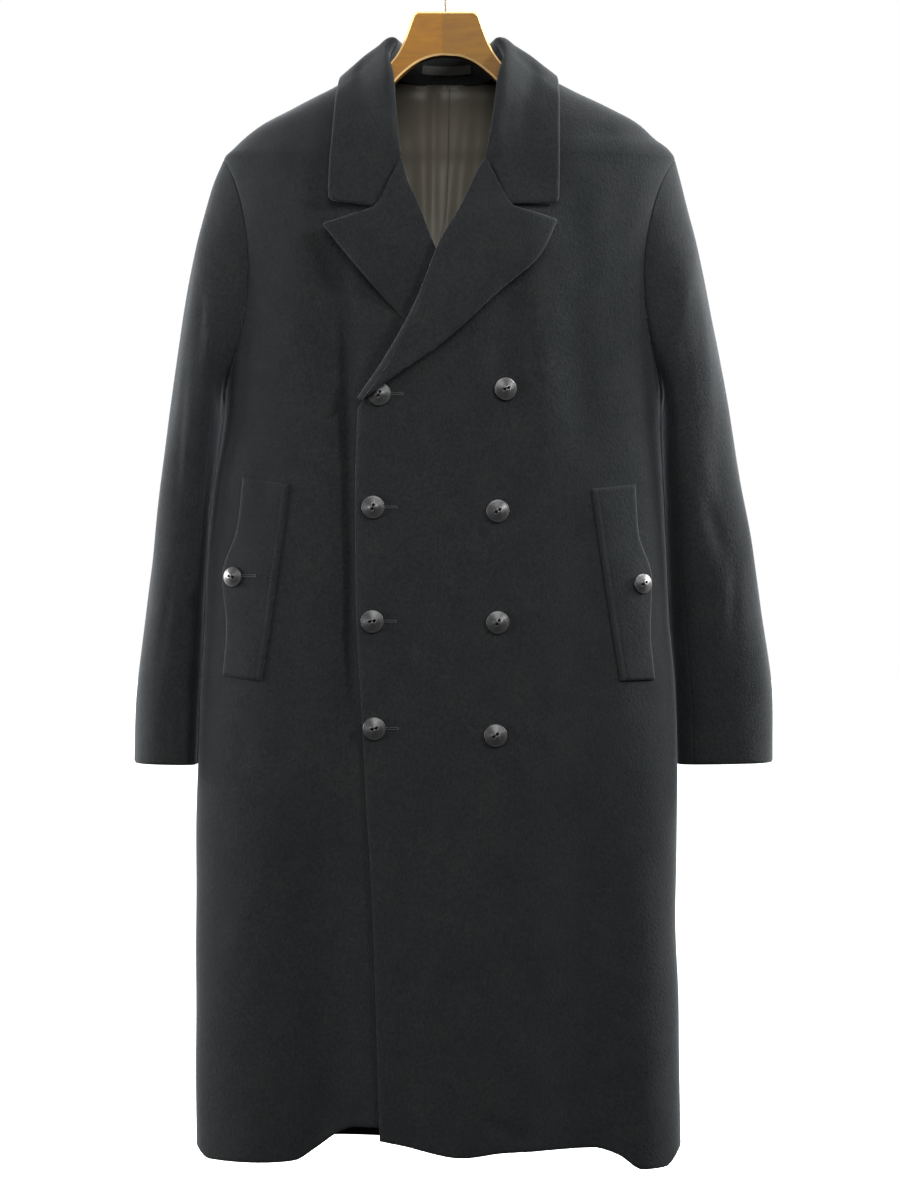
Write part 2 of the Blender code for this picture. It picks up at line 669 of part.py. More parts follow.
def collar_grid():
    """The collar's visible face: rows run across the neck from one front end to the other."""
    right = collar_half(-1, COLLAR_RIGHT)
    left = collar_half(1, COLLAR_LEFT)
    stations = np.concatenate((right[::-1], left[1:]))
    stands = stations[:, 2]
    length = np.concatenate(([0], np.cumsum(np.linalg.norm(np.diff(stands, axis=0), axis=1))))
    back = length[len(right) - 1]
    half = COLLAR_ROWS // 2 + 1
    at = np.concatenate((np.linspace(0, back, half), np.linspace(back, length[-1], half)[1:]))
    grid = np.empty((len(at),) + stations.shape[1:])
    for j in range(stations.shape[1]):
        for axis in range(3):
            grid[:, j, axis] = follow(length, stations[:, j, axis], at)
    return grid


def grid_normals(grid):
    """Directions square to a grid of points."""
    return unit(np.cross(np.gradient(grid, axis=0), np.gradient(grid, axis=1)))


def collar():
    grid = collar_grid()
    wall("collar", grid, grid - COLLAR_CLOTH * grid_normals(grid), wool())


def neck_label():
    """A small flat label on the stand's inner face, across the centre back."""
    grid = collar_grid()
    normal = grid_normals(grid)[len(grid) // 2, 1]
    share = np.array(LABEL_SHARE)[:, None]
    lines = np.array([row[0] * (1 - share) + row[2] * share for row in grid])
    away = np.cumsum(np.linalg.norm(np.diff(grid[:, 2], axis=0, prepend=grid[:1, 2]), axis=1))
    away = away - away[len(grid) // 2]
    half = LABEL_WIDTH / 2
    at = np.concatenate(((-half,), away[np.abs(away) < half - LABEL_GAP], (half,)))
    face = np.array([[np.interp(at, away, lines[:, j, axis]) for axis in range(3)] for j in range(2)])
    face = face.transpose(2, 0, 1)
    outer = face + (LABEL_GAP + LABEL_CLOTH) * normal
    wall("neck_label", outer, face + LABEL_GAP * normal, material("label", LABEL_GREY, 0.7))


# Sleeves
def sleeve_armhole(side, angle, gap):
    """Point of the armhole at an angle, 0 at the shoulder and 90 on the front, inside its edge."""
    middle = (SHOULDER_TIP + UNDERARM) / 2
    half = (SHOULDER_TIP - UNDERARM) / 2 - gap
    sine = np.sin(angle)
    cut = np.where(sine > 0, ARMHOLE_FRONT, ARMHOLE_BACK) * np.abs(sine)
    cut = np.clip(cut - seam_share(2 * gap) * np.abs(sine), 0, 1) * np.sign(sine)
    q = np.mod(cut, 4) if side < 0 else 2 - cut
    z = middle + half * np.cos(angle)
    return q, z


def body_reach(side, y, z):
    """How far the bare form reaches sideways at a depth and height."""
    width = body_at("right" if side > 0 else "left", z)
    depth = np.where(y < 0, body_at("front", z), body_at("back", z))
    power = body_at("square", z)
    return width * (1 - np.clip(np.abs(y) / depth, 0, 1) ** power) ** (1 / power)


def sleeve_point(side, sleeve, along, angle):
    """Point of a sleeve's outer face."""
    get = {name: follow(sleeve["along"], sleeve[name], along) for name in sleeve}
    cosine = np.cos(angle)
    sine = np.sin(angle)
    reach = (np.abs(cosine) ** SLEEVE_SQUARE + np.abs(sine) ** SLEEVE_SQUARE) ** (-1 / SLEEVE_SQUARE)
    share = (1 - cosine * reach) / 2

    def oval(get, share, sine, reach):
        x = get["outer_x"] * (1 - share) + get["inner_x"] * share
        z = get["outer_z"] * (1 - share) + get["inner_z"] * share
        y = get["middle_y"] - get["half_depth"] * sine * reach
        return np.stack(np.broadcast_arrays(x, y, z), axis=-1)

    q, z = sleeve_armhole(side, angle, SEAM)
    first = {name: column[0] for name, column in sleeve.items()}
    start = cloth(q, z, np.zeros_like(z))
    fade = 1 - ease(0, ARMHOLE_FADE, along)
    point = oval(get, share, sine, reach) + (start - oval(first, share, sine, reach)) * fade[..., None]
    clear = ease(0, SLEEVE_CLEAR_FROM, along)
    body = body_reach(side, point[..., 1], point[..., 2]) + SLEEVE_CLEAR * clear
    past = side * point[..., 0] - body
    pushed = (np.hypot(past, SLEEVE_GIVE) - past) / 2
    point[..., 0] += side * pushed * clear
    return point, sleeve_fold(side, along, angle), q, z


def sleeve_fold(side, along, angle):
    height = np.zeros(np.broadcast(along, angle).shape)
    for i in range(len(SLEEVE_FOLDS["side"])):
        fold = {name: column[i] for name, column in SLEEVE_FOLDS.items()}
        if fold["side"] != side:
            continue
        turned = (np.degrees(angle) - fold["angle"] + 180) % 360 - 180
        away = ((along - fold["along"]) / fold["half_along"]) ** 2 + (turned / fold["half_angle"]) ** 2
        height = height + fold["height"] * np.exp(-away)
    return height


def sleeve_grid(side, sleeve, along, angle):
    """Outer and inner faces of a stretch of sleeve."""
    along, angle = np.meshgrid(np.asarray(along, float), np.asarray(angle, float), indexing="ij")
    point, fold, q, z = sleeve_point(side, sleeve, along, angle)
    small = 0.004
    ahead = np.clip(along + small, 0, 1)
    behind = np.clip(along - small, 0, 1)
    down = sleeve_point(side, sleeve, ahead, angle)[0] - sleeve_point(side, sleeve, behind, angle)[0]
    round_it = sleeve_point(side, sleeve, along, angle + small)[0]
    round_it = round_it - sleeve_point(side, sleeve, along, angle - small)[0]
    normal = unit(np.cross(down, round_it) * -side)
    sewn = (1 - ease(0, SLEEVE_SEWN, along)) * (1 + np.cos(angle)) / 2
    normal = unit(normal * (1 - sewn)[..., None] + outward(q, z) * sewn[..., None])
    return point + normal * fold[..., None], point + normal * (fold - CLOTH)[..., None]


def sleeves():
    step = 180 // ARMHOLE_STEPS
    gap = SEAM / min(LEFT_SLEEVE["half_depth"])
    top = np.radians(np.arange(BACK_SLEEVE_SEAM - 360, FRONT_SLEEVE_SEAM + 1, step).astype(float))
    under = np.radians(np.arange(FRONT_SLEEVE_SEAM, BACK_SLEEVE_SEAM + 1, step).astype(float))
    for angles in (top, under):
        angles[0] += gap
        angles[-1] -= gap
    for word, side, sleeve in (("left", 1, LEFT_SLEEVE), ("right", -1, RIGHT_SLEEVE)):
        for part, angles in (("top", top), ("under", under)):
            wall(f"{word}_sleeve_{part}", *sleeve_grid(side, sleeve, SLEEVE_ROWS, angles), wool())


# Pockets and buttons
def welt(name, side, shape):
    share = np.linspace(0, 1, WELT_ROWS)[:, None]
    across = np.linspace(0, 1, WELT_COLUMNS)[None, :]
    spot = {column: follow(shape["share"], shape[column], share) for column in shape}
    x = spot["inner_x"] * (1 - across) + spot["outer_x"] * across
    z = spot["inner_z"] * (1 - across) + spot["outer_z"] * across
    wall(name, on_front(side, x, z, LYING + CLOTH), on_front(side, x, z, LYING), wool())


def button(name, side, x, z, across, under):
    """A turned button whose axis stands square to the cloth."""
    radius = across / 2
    mesh = bpy.data.meshes.new(name)
    points = [(r * radius * MM, 0, h * radius * MM) for r, h in zip(*BUTTON_PROFILE.values())]
    mesh.from_pydata(points, [(i, i + 1) for i in range(len(points) - 1)], [])
    made = place(name, mesh, material("horn", HORN, 0.35))
    turn = made.modifiers.new("turn", "SCREW")
    turn.steps = BUTTON_SIDES
    turn.render_steps = BUTTON_SIDES
    turn.use_merge_vertices = True
    turn.merge_threshold = 0.00001
    turns = np.radians(np.arange(0, 360, 45))
    around = [on_front(side, x + radius * np.cos(a), z + radius * np.sin(a), under) for a in turns]
    normal = unit(np.cross(around[0] - around[4], around[2] - around[6]))
    centre = on_front(side, x, z, under)
    middle = max((point - centre) @ normal for point in around + [centre])
    made.location = Vector((centre + normal * (middle + BUTTON_GAP)) * MM)
    made.rotation_euler = Vector(normal).to_track_quat("Z", "Y").to_euler()


def buttons():
    for name, x, z in BUTTONS:
        button(name, 1, x, z, FRONT_BUTTON, 0.0)
    for name, x, z in POCKET_BUTTONS:
        side = 1 if x > 0 else -1
        button(name, side, x, z, POCKET_BUTTON, LYING + CLOTH)


def back_lining():
    q = 3 + np.linspace(-LINING_SHARE, LINING_SHARE, LINING_COLUMNS)[None, :]
    z = np.linspace(LINING_TOP, LINING_LOW, LINING_ROWS)[:, None]
    q, z = np.broadcast_arrays(q, z)
    lift = np.full(q.shape, -CLOTH - LYING)
    satin = material("satin", SATIN, 0.45)
    wall("back_lining", cloth(q, z, lift), cloth(q, z, lift - LINING_CLOTH), satin)


# Hanger
def shoulder_line(side, x):
    """Height of the coat's shoulder line at a distance from the middle."""
    width = BODY["right"] if side > 0 else BODY["left"]
    above = BODY["z"] >= SHOULDER_TIP
    return follow(width[above], BODY["z"][above], x)


def hanger_half(name, side, look):
    """Outline of one half, from the joint along the top, round the end and back under the arch."""
    arm = np.linspace(ARM_START, ARM_END, ARM_STEPS)
    top = [(x, shoulder_line(side, x) - ARM_UNDER_CLOTH) for x in arm]
    neck = list(zip(*HANGER_NECK.values()))
    end = [(ARM_END + out, top[-1][1] - down) for out, down in zip(*ARM_TIP.values())]
    low = [(x - ARM_SLANT, z - ARM_HEIGHT) for x, z in reversed(top)]
    arch = list(zip(*HANGER_ARCH.values()))
    joint = side * HANGER_JOINT + SEAM / 2
    points = [(joint, HANGER_TOP)] + neck + top + end + low + arch + [(joint, ARCH_PEAK)]
    curve = bpy.data.curves.new(name, "CURVE")
    curve.dimensions = "2D"
    curve.fill_mode = "BOTH"
    curve.extrude = (HANGER_DEPTH / 2 - HANGER_ROUND) * MM
    curve.bevel_depth = HANGER_ROUND * MM
    curve.offset = -HANGER_ROUND * MM
    curve.bevel_resolution = 1
    spline = curve.splines.new("POLY")
    spline.use_cyclic_u = True
    spline.points.add(len(points) - 1)
    for made, (x, z) in zip(spline.points, points):
        made.co = (side * x * MM, z * MM, 0, 1)
    placed = place(name, curve, look)
    placed.rotation_euler = (math.pi / 2, 0, 0)


def hanger_hook():
    """A wire hook: an open round top that comes back over the wood's joint."""
    radius = HOOK_INSIDE + WIRE / 2
    centre = -HOOK_INSIDE
    points = []
    for angle in np.radians(np.linspace(*HOOK_ANGLES, HOOK_STEPS)):
        points.append((radius * math.cos(angle), centre + radius * math.sin(angle)))
    turn = np.array(points[-1])
    foot = np.array((0, HANGER_TOP + HOOK_FOOT))
    guides = (turn, turn + HOOK_PULL, foot + FOOT_PULL, foot)
    for t in (0.25, 0.5, 0.75):
        weights = ((1 - t) ** 3, 3 * t * (1 - t) ** 2, 3 * t * t * (1 - t), t ** 3)
        points.append(tuple(sum(w * g for w, g in zip(weights, guides))))
    points += [tuple(foot), (0, HANGER_TOP + SEAM)]
    curve = bpy.data.curves.new("hanger_hook", "CURVE")
    curve.dimensions = "3D"
    curve.bevel_depth = WIRE / 2 * MM
    curve.bevel_resolution = 2
    curve.use_fill_caps = True
    spline = curve.splines.new("POLY")
    spline.points.add(len(points) - 1)
    for made, (x, z) in zip(spline.points, points):
        made.co = (x * MM, 0, z * MM, 1)
    place("hanger_hook", curve, material("wire", WIRE_BROWN, 0.4, 0.8))


for old in list(bpy.data.objects):
    bpy.data.objects.remove(old)
parts = bpy.data.collections.new(OBJECT_NAME)
bpy.context.scene.collection.children.link(parts)

front_panel("left_front", 1, HEM_LEFT)
front_panel("right_front", -1, HEM_RIGHT)
back_panel("left_back", 1)
back_panel("right_back", -1)
lapel("left_lapel", 1, LEFT_LAPEL)
lapel("right_lapel", -1, RIGHT_LAPEL)
collar()
neck_label()
sleeves()
welt("left_pocket_welt", 1, LEFT_WELT)
welt("right_pocket_welt", -1, RIGHT_WELT)
buttons()
back_lining()
hanger_half("hanger_left", 1, material("dark_wood", DARK_WOOD, 0.4))
hanger_half("hanger_right", -1, material("light_wood", LIGHT_WOOD, 0.4))
hanger_hook()
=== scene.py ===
"""The looks of a long double-breasted overcoat that hangs on a wooden hanger.

Lengths are in millimetres and MM turns them into metres. The frame is the part's own: the origin
is where the hook bears on its rail, +X is to the right seen from the front, the front faces -Y and
+Z is up. Left and right in the names are the wearer's, so the left front lies on the +X side.
"""
import math

import bpy
import numpy as np
from mathutils import Matrix, Vector


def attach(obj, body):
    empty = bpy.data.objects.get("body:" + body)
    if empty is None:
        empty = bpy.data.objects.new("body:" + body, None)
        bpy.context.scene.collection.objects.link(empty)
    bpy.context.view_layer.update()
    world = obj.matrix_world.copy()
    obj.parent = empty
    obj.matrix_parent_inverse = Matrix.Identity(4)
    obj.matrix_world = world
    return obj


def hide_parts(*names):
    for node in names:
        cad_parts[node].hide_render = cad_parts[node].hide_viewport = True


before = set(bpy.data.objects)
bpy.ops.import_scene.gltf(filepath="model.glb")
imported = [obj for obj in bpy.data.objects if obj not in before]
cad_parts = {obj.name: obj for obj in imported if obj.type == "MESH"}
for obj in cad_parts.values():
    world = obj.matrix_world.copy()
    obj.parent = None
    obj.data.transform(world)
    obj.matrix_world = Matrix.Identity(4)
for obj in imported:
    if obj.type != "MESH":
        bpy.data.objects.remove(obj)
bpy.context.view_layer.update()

MM = 0.001


def table(columns, *rows):
    """One array for each named column."""
    return dict(zip(columns.split(), np.array(rows, float).T))


def rows_of(columns):
    """The rows of a table, each as a dict."""
    return [dict(zip(columns, row)) for row in zip(*columns.values())]


# Cloth and seams, as in the part
CLOTH = 2.4
COLLAR_CLOTH = 3.0
LINING_CLOTH = 1.0
LABEL_CLOTH = 0.6
SEAM = 0.3
TUCK = 0.8             # how far sewn edges reach past each other, so that no light shows through
LYING = 0.8

# The coat's form as sections: half widths, depths before and behind the hanger, and squareness
BODY = table(
    "z     left   right  front back  square",
    (-126, 72.0,  76.0,  24,   44,   2.0),
    (-136, 91.0,  96.0,  33,   66,   2.0),
    (-159, 134.6, 143.0, 50,   74,   2.05),
    (-175, 165.0, 178.0, 57,   78,   2.1),
    (-191, 194.0, 205.6, 63,   81,   2.15),
    (-207, 215.0, 222.6, 68,   83,   2.2),
    (-217, 225.0, 236.0, 71,   85,   2.3),
    (-228, 235.0, 243.0, 74,   86,   2.4),
    (-300, 236.0, 240.0, 82,   88,   2.7),
    (-400, 235.0, 232.0, 85,   87,   3.0),
    (-490, 233.5, 225.5, 85,   84,   3.2),
    (-588, 247.0, 230.0, 84,   80,   3.3),
    (-694, 254.0, 235.0, 82,   77,   3.4),
    (-800, 260.0, 243.0, 79,   73,   3.4),
    (-866, 262.0, 244.0, 77,   71,   3.4),
    (-1012, 264.0, 243.0, 71,  66,   3.3),
    (-1118, 265.0, 246.0, 67,  62,   3.2),
    (-1300, 263.5, 249.0, 62,  58,   3.1),
)
NECK_TOP = BODY["z"][0]
BACK_NECK = -136
SHOULDER_TIP = -228
UNDERARM = -480
ARMHOLE_MIDDLE = (SHOULDER_TIP + UNDERARM) / 2
ARMHOLE_HALF = (SHOULDER_TIP - UNDERARM) / 2
HEM_START = -1020      # below this height the rows run down to the hem's own line
HEM_EASE = 1.5
BACK_HEM = -1270
BACK_NECK_REACH = 0.9
ARMHOLE_FRONT = 0.24   # how far the armhole cuts into a quarter of the section
ARMHOLE_BACK = 0.25
SIDE_SEAM = 0.12       # how far behind the side its seam ends up, and over what height
SIDE_SEAM_RUN = 120

# Folds are lines from top to bottom, with ridge (+) or trough (-) heights. The large ones are the
# part's own, and the creases are finer and placed one by one.
FRONT_FOLDS = table(
    "x_top z_top x_low z_low half_width height",
    (-125, -300, -104, -600, 26, -4.5),
    (71,   -390, 78,   -640, 22, -2.5),
    (-186, -720, -216, -1500, 46, 5.0),
    (-118, -820, -124, -1500, 36, -8.0),
    (22,   -900, 18,   -1500, 60, 4.0),
    (148,  -850, 156,  -1500, 42, -5.0),
    (206,  -900, 212,  -1500, 28, 4.0),
)
FRONT_CREASES = table(
    "x_top z_top x_low z_low half_width height",
    (-108, -300, -100, -900, 9,  -9.0),
    (-130, -285, -112, -520, 15, -5.0),
    (-190, -205, -168, -420, 20, -1.2),
    (-206, -500, -178, -610, 11, -1.0),
    (-150, -600, -128, -860, 14, 1.1),
    (-212, -815, -208, -880, 5,  -0.9),
    (-160, -1020, -150, -1330, 16, 1.6),
    (185,  -215, 172,  -430, 22, -1.3),
    (128,  -330, 142,  -560, 16, -1.1),
    (66,   -330, 72,   -560, 17, -4.5),
    (-20,  -500, -12,  -700, 18, 0.8),
    (10,   -690, 2,    -900, 15, -0.8),
    (112,  -640, 118,  -930, 17, 1.0),
    (30,   -1225, 92,  -1262, 9, -1.8),
    (98,   -1130, 84,  -1330, 14, 1.4),
    (-38,  -1050, -44, -1330, 15, -1.3),
)
BACK_CREASES = table(
    "x_top z_top x_low z_low half_width height",
    (-150, -260, -120, -620, 34, -4.6),
    (156,  -270, 118,  -600, 30, -4.0),
    (-60,  -200, -74,  -420, 24, 1.4),
    (66,   -195, 60,   -400, 20, 1.2),
    (-190, -520, -150, -700, 14, -2.6),
    (186,  -510, 140,  -680, 13, -2.4),
    (-128, -700, -150, -1500, 44, 4.5),
    (-52,  -820, -64,  -1500, 30, -7.0),
    (44,   -760, 58,   -1500, 36, 4.2),
    (132,  -840, 140,  -1500, 32, -6.5),
    (196,  -900, 204,  -1500, 26, 3.0),
    (-208, -940, -214, -1500, 24, -2.5),
)
FOLD_END = 0.3         # share of a fold over which it fades at each end
FOLD_SIDE = (-5, -45)  # depths between which the folds of the front start
# Slight unevenness of hung wool: waves of unlike lengths
WAVES = table(
    "length_x length_z turn height",
    (173,    410,     0.4,  0.45),
    (97,     -260,    2.1,  0.30),
    (61,     151,     4.0,  0.18),
    (-44,    118,     1.2,  0.12),
)

# Inner edge of each front: the neck seam above its lapel and the front edge below it
LEFT_NECK = table("z x", (-126, 70), (-150, 65), (-180, 59), (-210, 52), (-233, 46.5))
RIGHT_NECK = table("z x", (-126, -68), (-150, -63), (-180, -58), (-210, -53), (-233, -50))
LEFT_EDGE = table(
    "z     x",
    (-488, -85.5), (-494, -91), (-600, -94), (-700, -93),
    (-800, -88), (-900, -83), (-1000, -77), (-1300, -68),
)
RIGHT_EDGE = table("z x", (-500, 75), (-900, 75), (-1300, 75))
HEM_LEFT = table(
    "x    z",
    (-69, -1257), (-45, -1262), (18, -1274), (60, -1269), (155, -1266),
    (180, -1273), (205, -1289), (230, -1288), (249, BACK_HEM),
)
HEM_RIGHT = table(
    "x     z",
    (-264, BACK_HEM), (-250, -1280), (-200, -1281), (-160, -1279), (-135, -1265),
    (-110, -1248), (-95, -1243), (80, -1243),
)

# The over front stands off the form where it lies on the under front and its lapel
LAP_LIFT = CLOTH + 1.6
LAPEL_PAD = 4.4
LAP_FADE = (150, 80)
LAP_TOP = (-245, -320)
LAPEL_PAD_END = (-460, -600)

# Lapels: visible roll line, top edge and outer edge as places on the front, the radius inside the
# roll, and the gap under the edge, which the first button props up
LEFT_LAPEL = {
    "roll": table(
        "x z", (41, -235), (31.5, -251), (16, -285), (-6, -323), (-31, -385), (-65, -447), (-91, -485),
    ),
    "top": table(
        "x z", (41, -235), (53.3, -260), (64.6, -283), (69, -287.6), (90, -294.5), (114.5, -302),
    ),
    "edge": table(
        "x z", (114.5, -302), (97, -338), (56, -375), (-6, -431), (-47, -459), (-85, -488),
    ),
    "roll_radius": table("share radius", (0, 2.2), (0.6, 2.4), (0.86, 3.4), (1, 2.4)),
    "lying": table(
        "share height", (0, 8.5), (0.15, 9.5), (0.5, 8.0), (0.7, 6.0), (0.83, 8.8), (0.95, 8.8), (1, 6.0),
    ),
}
RIGHT_LAPEL = {
    "roll": table("x z", (-46, -235), (-39.5, -259), (-29.5, -281), (-10, -331), (30, -410), (60, -455)),
    "top": table(
        "x z", (-46, -235), (-58, -260), (-69.6, -284), (-74.5, -288.6), (-99, -297.5), (-126.5, -306),
    ),
    "edge": table("x z", (-126.5, -306), (-96, -345), (-42, -405), (10, -450), (52, -470)),
    "roll_radius": table("share radius", (0, 2.2), (0.35, 1.2), (1, 0.8)),
    "lying": table("share height", (0, 13.0), (0.25, 11.0), (0.42, 4.0), (0.5, 0.8), (1, 0.8)),
}
LAPEL_FALL = 1.6       # how soon a lapel comes down from its roll
LAPEL_CORNER = 3.5
ROLL_GAP = 0.9
ROLL_TURN = (-90, -270)
ROLL_REST = 1.0        # from the end of the roll to where the lapel's face may start
ROLL_LOOK = table("share across", (0, 0.02), (1, 0.07))

# Collar stations from the centre back to the front ends
COLLAR_BACK = table(
    "neck_x neck_y neck_z stand_x stand_y stand_z edge_x edge_z edge_lift",
    (0,     64,    -140.0, 0,     70,     -102,   0,     -166,  4.0),
    (30,    58,    -139.0, 26,    64,     -102,   56,    -164,  4.5),
    (53,    39,    -133.0, 44,    44,     -102,   97,    -155,  6.0),
    (63.5,  4,     -123.5, 52,    6,      -103,   117,   -146,  6.0),
)
COLLAR_LEFT = table(
    "neck_z stand_x stand_z stand_lift middle_x middle_z edge_x edge_z edge_lift",
    (-146,  56,     -121,   12,        85,      -140,   117,   -166,  7.5),
    (-172,  53,     -152,   9,         83,      -178,   116.5, -204,  11.0),
    (-200,  49,     -186,   6,         80,      -214,   116,   -238,  13.0),
    (-225,  44.5,   -216,   4,         73,      -252,   115.5, -266,  13.0),
    (-234,  41.0,   -235.0, 2.2,       66.2,    -285.6, 115.5, -285,  12.5),
)
COLLAR_RIGHT = table(
    "neck_z stand_x stand_z stand_lift middle_x middle_z edge_x edge_z edge_lift",
    (-146,  -55,    -121,   12,        -84,     -140,   -113,  -166,  8.0),
    (-172,  -53,    -152,   9,         -84,     -176,   -115.5, -202, 12.0),
    (-200,  -51,    -186,   6,         -83,     -212,   -118,  -234,  14.0),
    (-225,  -48.5,  -216,   4,         -78,     -251,   -119.5, -262, 14.5),
    (-234,  -46.0,  -235.0, 2.2,       -71.2,   -286.6, -120,  -282,  14.5),
)
COLLAR_ROLL = 4.6
COLLAR_TURNS = (0, 45, 90, 135)
COLLAR_CORNER = 7.0
COLLAR_MIDDLE_LIFT = 6.6

# Sleeves from the armhole to the cuff: outer and inner line, middle and half depth
RIGHT_SLEEVE = table(
    "along outer_x outer_z inner_x inner_z middle_y half_depth",
    (0.00, -235,   -228,   -233.5, -480,   4,       60),
    (0.08, -247,   -257,   -236,   -487,   7,       66),
    (0.20, -262,   -312,   -236,   -507,   12,      72),
    (0.35, -277,   -390,   -239,   -548,   17,      75),
    (0.50, -291,   -488,   -244,   -603,   20,      73),
    (0.65, -304,   -592,   -248,   -668,   21,      70),
    (0.80, -317,   -698,   -252,   -738,   22,      66),
    (0.92, -329,   -802,   -256,   -816,   22,      63),
    (1.00, -332,   -866,   -257,   -868,   22,      62),
)
LEFT_SLEEVE = table(
    "along outer_x outer_z inner_x inner_z middle_y half_depth",
    (0.00, 243,    -228,   226,    -480,   4,       60),
    (0.08, 251,    -260,   228,    -487,   7,       66),
    (0.20, 264,    -312,   226,    -507,   12,      70),
    (0.35, 281,    -390,   226,    -548,   17,      70),
    (0.50, 300,    -488,   228,    -603,   19,      66),
    (0.65, 316,    -592,   230.5,  -668,   19,      61),
    (0.80, 333,    -698,   234.5,  -738,   19,      55),
    (0.92, 347,    -800,   239,    -816,   19,      50),
    (1.00, 348,    -866,   240,    -868,   19,      48),
)
SLEEVE_SQUARE = 2.5
SLEEVE_CLEAR = 0.6     # from the body where the sleeve lies against it
SLEEVE_GIVE = 2.0      # how softly the body pushes it out
# Shares of a sleeve's length at which it is clear, has left the armhole's form, is free of the
# seam and is fully uneven
SLEEVE_CLEAR_FROM = 0.12
ARMHOLE_FADE = 0.22
SLEEVE_SEWN = 0.03
UNEVEN_FROM = 0.1
# Seams in degrees round a sleeve, from the shoulder over the front
FRONT_SLEEVE_SEAM = 126
BACK_SLEEVE_SEAM = 252
TOP_SLEEVE = (BACK_SLEEVE_SEAM - 360, FRONT_SLEEVE_SEAM)
UNDER_SLEEVE = (FRONT_SLEEVE_SEAM, BACK_SLEEVE_SEAM)
# Folds of the sleeves: the first four are the part's own. Slant turns a fold along the sleeve.
SLEEVE_FOLDS = table(
    "side along angle half_along half_angle height slant",
    (-1,  0.24, 70,   0.13,      20,        -5,    0),
    (-1,  0.62, 40,   0.10,      24,        3,     0),
    (1,   0.58, 62,   0.10,      22,        -6,    0),
    (1,   0.70, 30,   0.09,      20,        4,     0),
    (-1,  0.50, 66,   0.10,      9,         -1.6,  60),
    (-1,  0.80, 74,   0.08,      10,        -1.4,  -50),
    (-1,  0.40, 20,   0.14,      12,        1.4,   30),
    (-1,  0.55, -60,  0.05,      16,        -2.6,  160),
    (-1,  0.66, -75,  0.05,      14,        2.0,   -150),
    (-1,  0.34, -80,  0.10,      16,        -2.4,  40),
    (1,   0.64, 78,   0.07,      10,        -2.2,  -140),
    (1,   0.78, 66,   0.06,      9,         -1.8,  120),
    (1,   0.40, 56,   0.10,      10,        1.4,   40),
    (1,   0.52, -66,  0.05,      15,        -2.6,  -150),
    (1,   0.63, -80,  0.05,      13,        2.0,   140),
    (1,   0.30, -76,  0.10,      16,        -2.2,  -30),
    (1,   0.88, 44,   0.06,      12,        1.2,   30),
)

# Pocket welts: inner edge and waved outer edge on the fronts
LEFT_WELT = table(
    "share inner_x inner_z outer_x outer_z",
    (0.0,  151,    -579,   196.5,  -574),
    (0.25, 158,    -629,   200,    -624),
    (0.5,  165.5,  -679,   214,    -672),
    (0.75, 173,    -728,   212,    -725),
    (1.0,  181,    -778,   217,    -777),
)
RIGHT_WELT = table(
    "share inner_x inner_z outer_x outer_z",
    (0.0,  -163,   -574,   -210,   -567),
    (0.25, -169,   -625,   -216,   -618),
    (0.5,  -176,   -676,   -232,   -670),
    (0.75, -183,   -727,   -228,   -722),
    (1.0,  -191,   -778,   -232,   -772),
)
WELT_STITCH = 5.5      # from the inner edge to the row of stitches
WELT_GROOVE = 0.5      # depth of the dip that they lie in
WELT_GROOVE_WIDTH = 1.1
STITCH = 3.0
STITCH_GAP = 1.1
STITCH_START = 1.5
STITCH_SINK = 0.45
STITCH_SWELL = np.array((0.35, 0.9, 1.0, 0.9, 0.35))
THREAD = 0.32          # radius

# Buttons: turned cones with a rounded rim. Each row has a node, x, z and the turn of the holes, and
# the profile is in shares of the radius.
FRONT_BUTTON = 24.0    # across
POCKET_BUTTON = 21.0
BUTTON_GAP = 0.56
BUTTONS = (
    ("button_right_1", -68.5, -481.5, 70), ("button_right_2", -75, -598, 78),
    ("button_right_3", -76, -716, 10), ("button_right_4", -74, -827, 15),
    ("button_left_1", 61, -476, 20), ("button_left_2", 53.5, -602, 38),
    ("button_left_3", 53.5, -717, 60), ("button_left_4", 51.5, -834, 40),
)
POCKET_BUTTONS = (("pocket_button_right", -220, -670, -20), ("pocket_button_left", 203, -677, 30))
BUTTON_PROFILE = table(
    "radius height",
    (0.0, 0.58), (0.10, 0.565), (0.45, 0.38), (0.86, 0.20), (0.92, 0.185), (0.965, 0.17),
    (0.99, 0.13), (1.0, 0.08), (0.985, 0.03), (0.94, 0.0), (0.0, 0.0),
)
BUTTON_RIM = (5, 9)    # the profile's points where the rim starts and ends
BUTTON_TIP = 0.12      # share of the profile that dips at the tip, and how deep
TIP_DIP = 0.05
HOLE_RADIUS = 1.35
HOLE_FLOOR = 0.7 * HOLE_RADIUS
HOLE_MOUTH = 1.15 * HOLE_RADIUS
HOLE_APART = 4.2
HOLE_DEPTH = 4.0
EYE_DEPTH = 0.9        # of the carved trough that the holes lie in
EYE_WIDTH = 1.3
EYE_END = (2.8, 5.2)
POCKET_BUTTONHOLE = (-220, -669)
BUTTONHOLE_START = 0.2    # of the button's width, from its middle
BUTTONHOLE_REACH = 12.5   # past the button's edge
LIP = 0.65                # radius of the corded lips
LIP_APART = 0.95
LIP_SINK = 0.1
LIP_PURL = 0.16
PURL_LENGTH = 1.2
BAR_HALF = 1.6

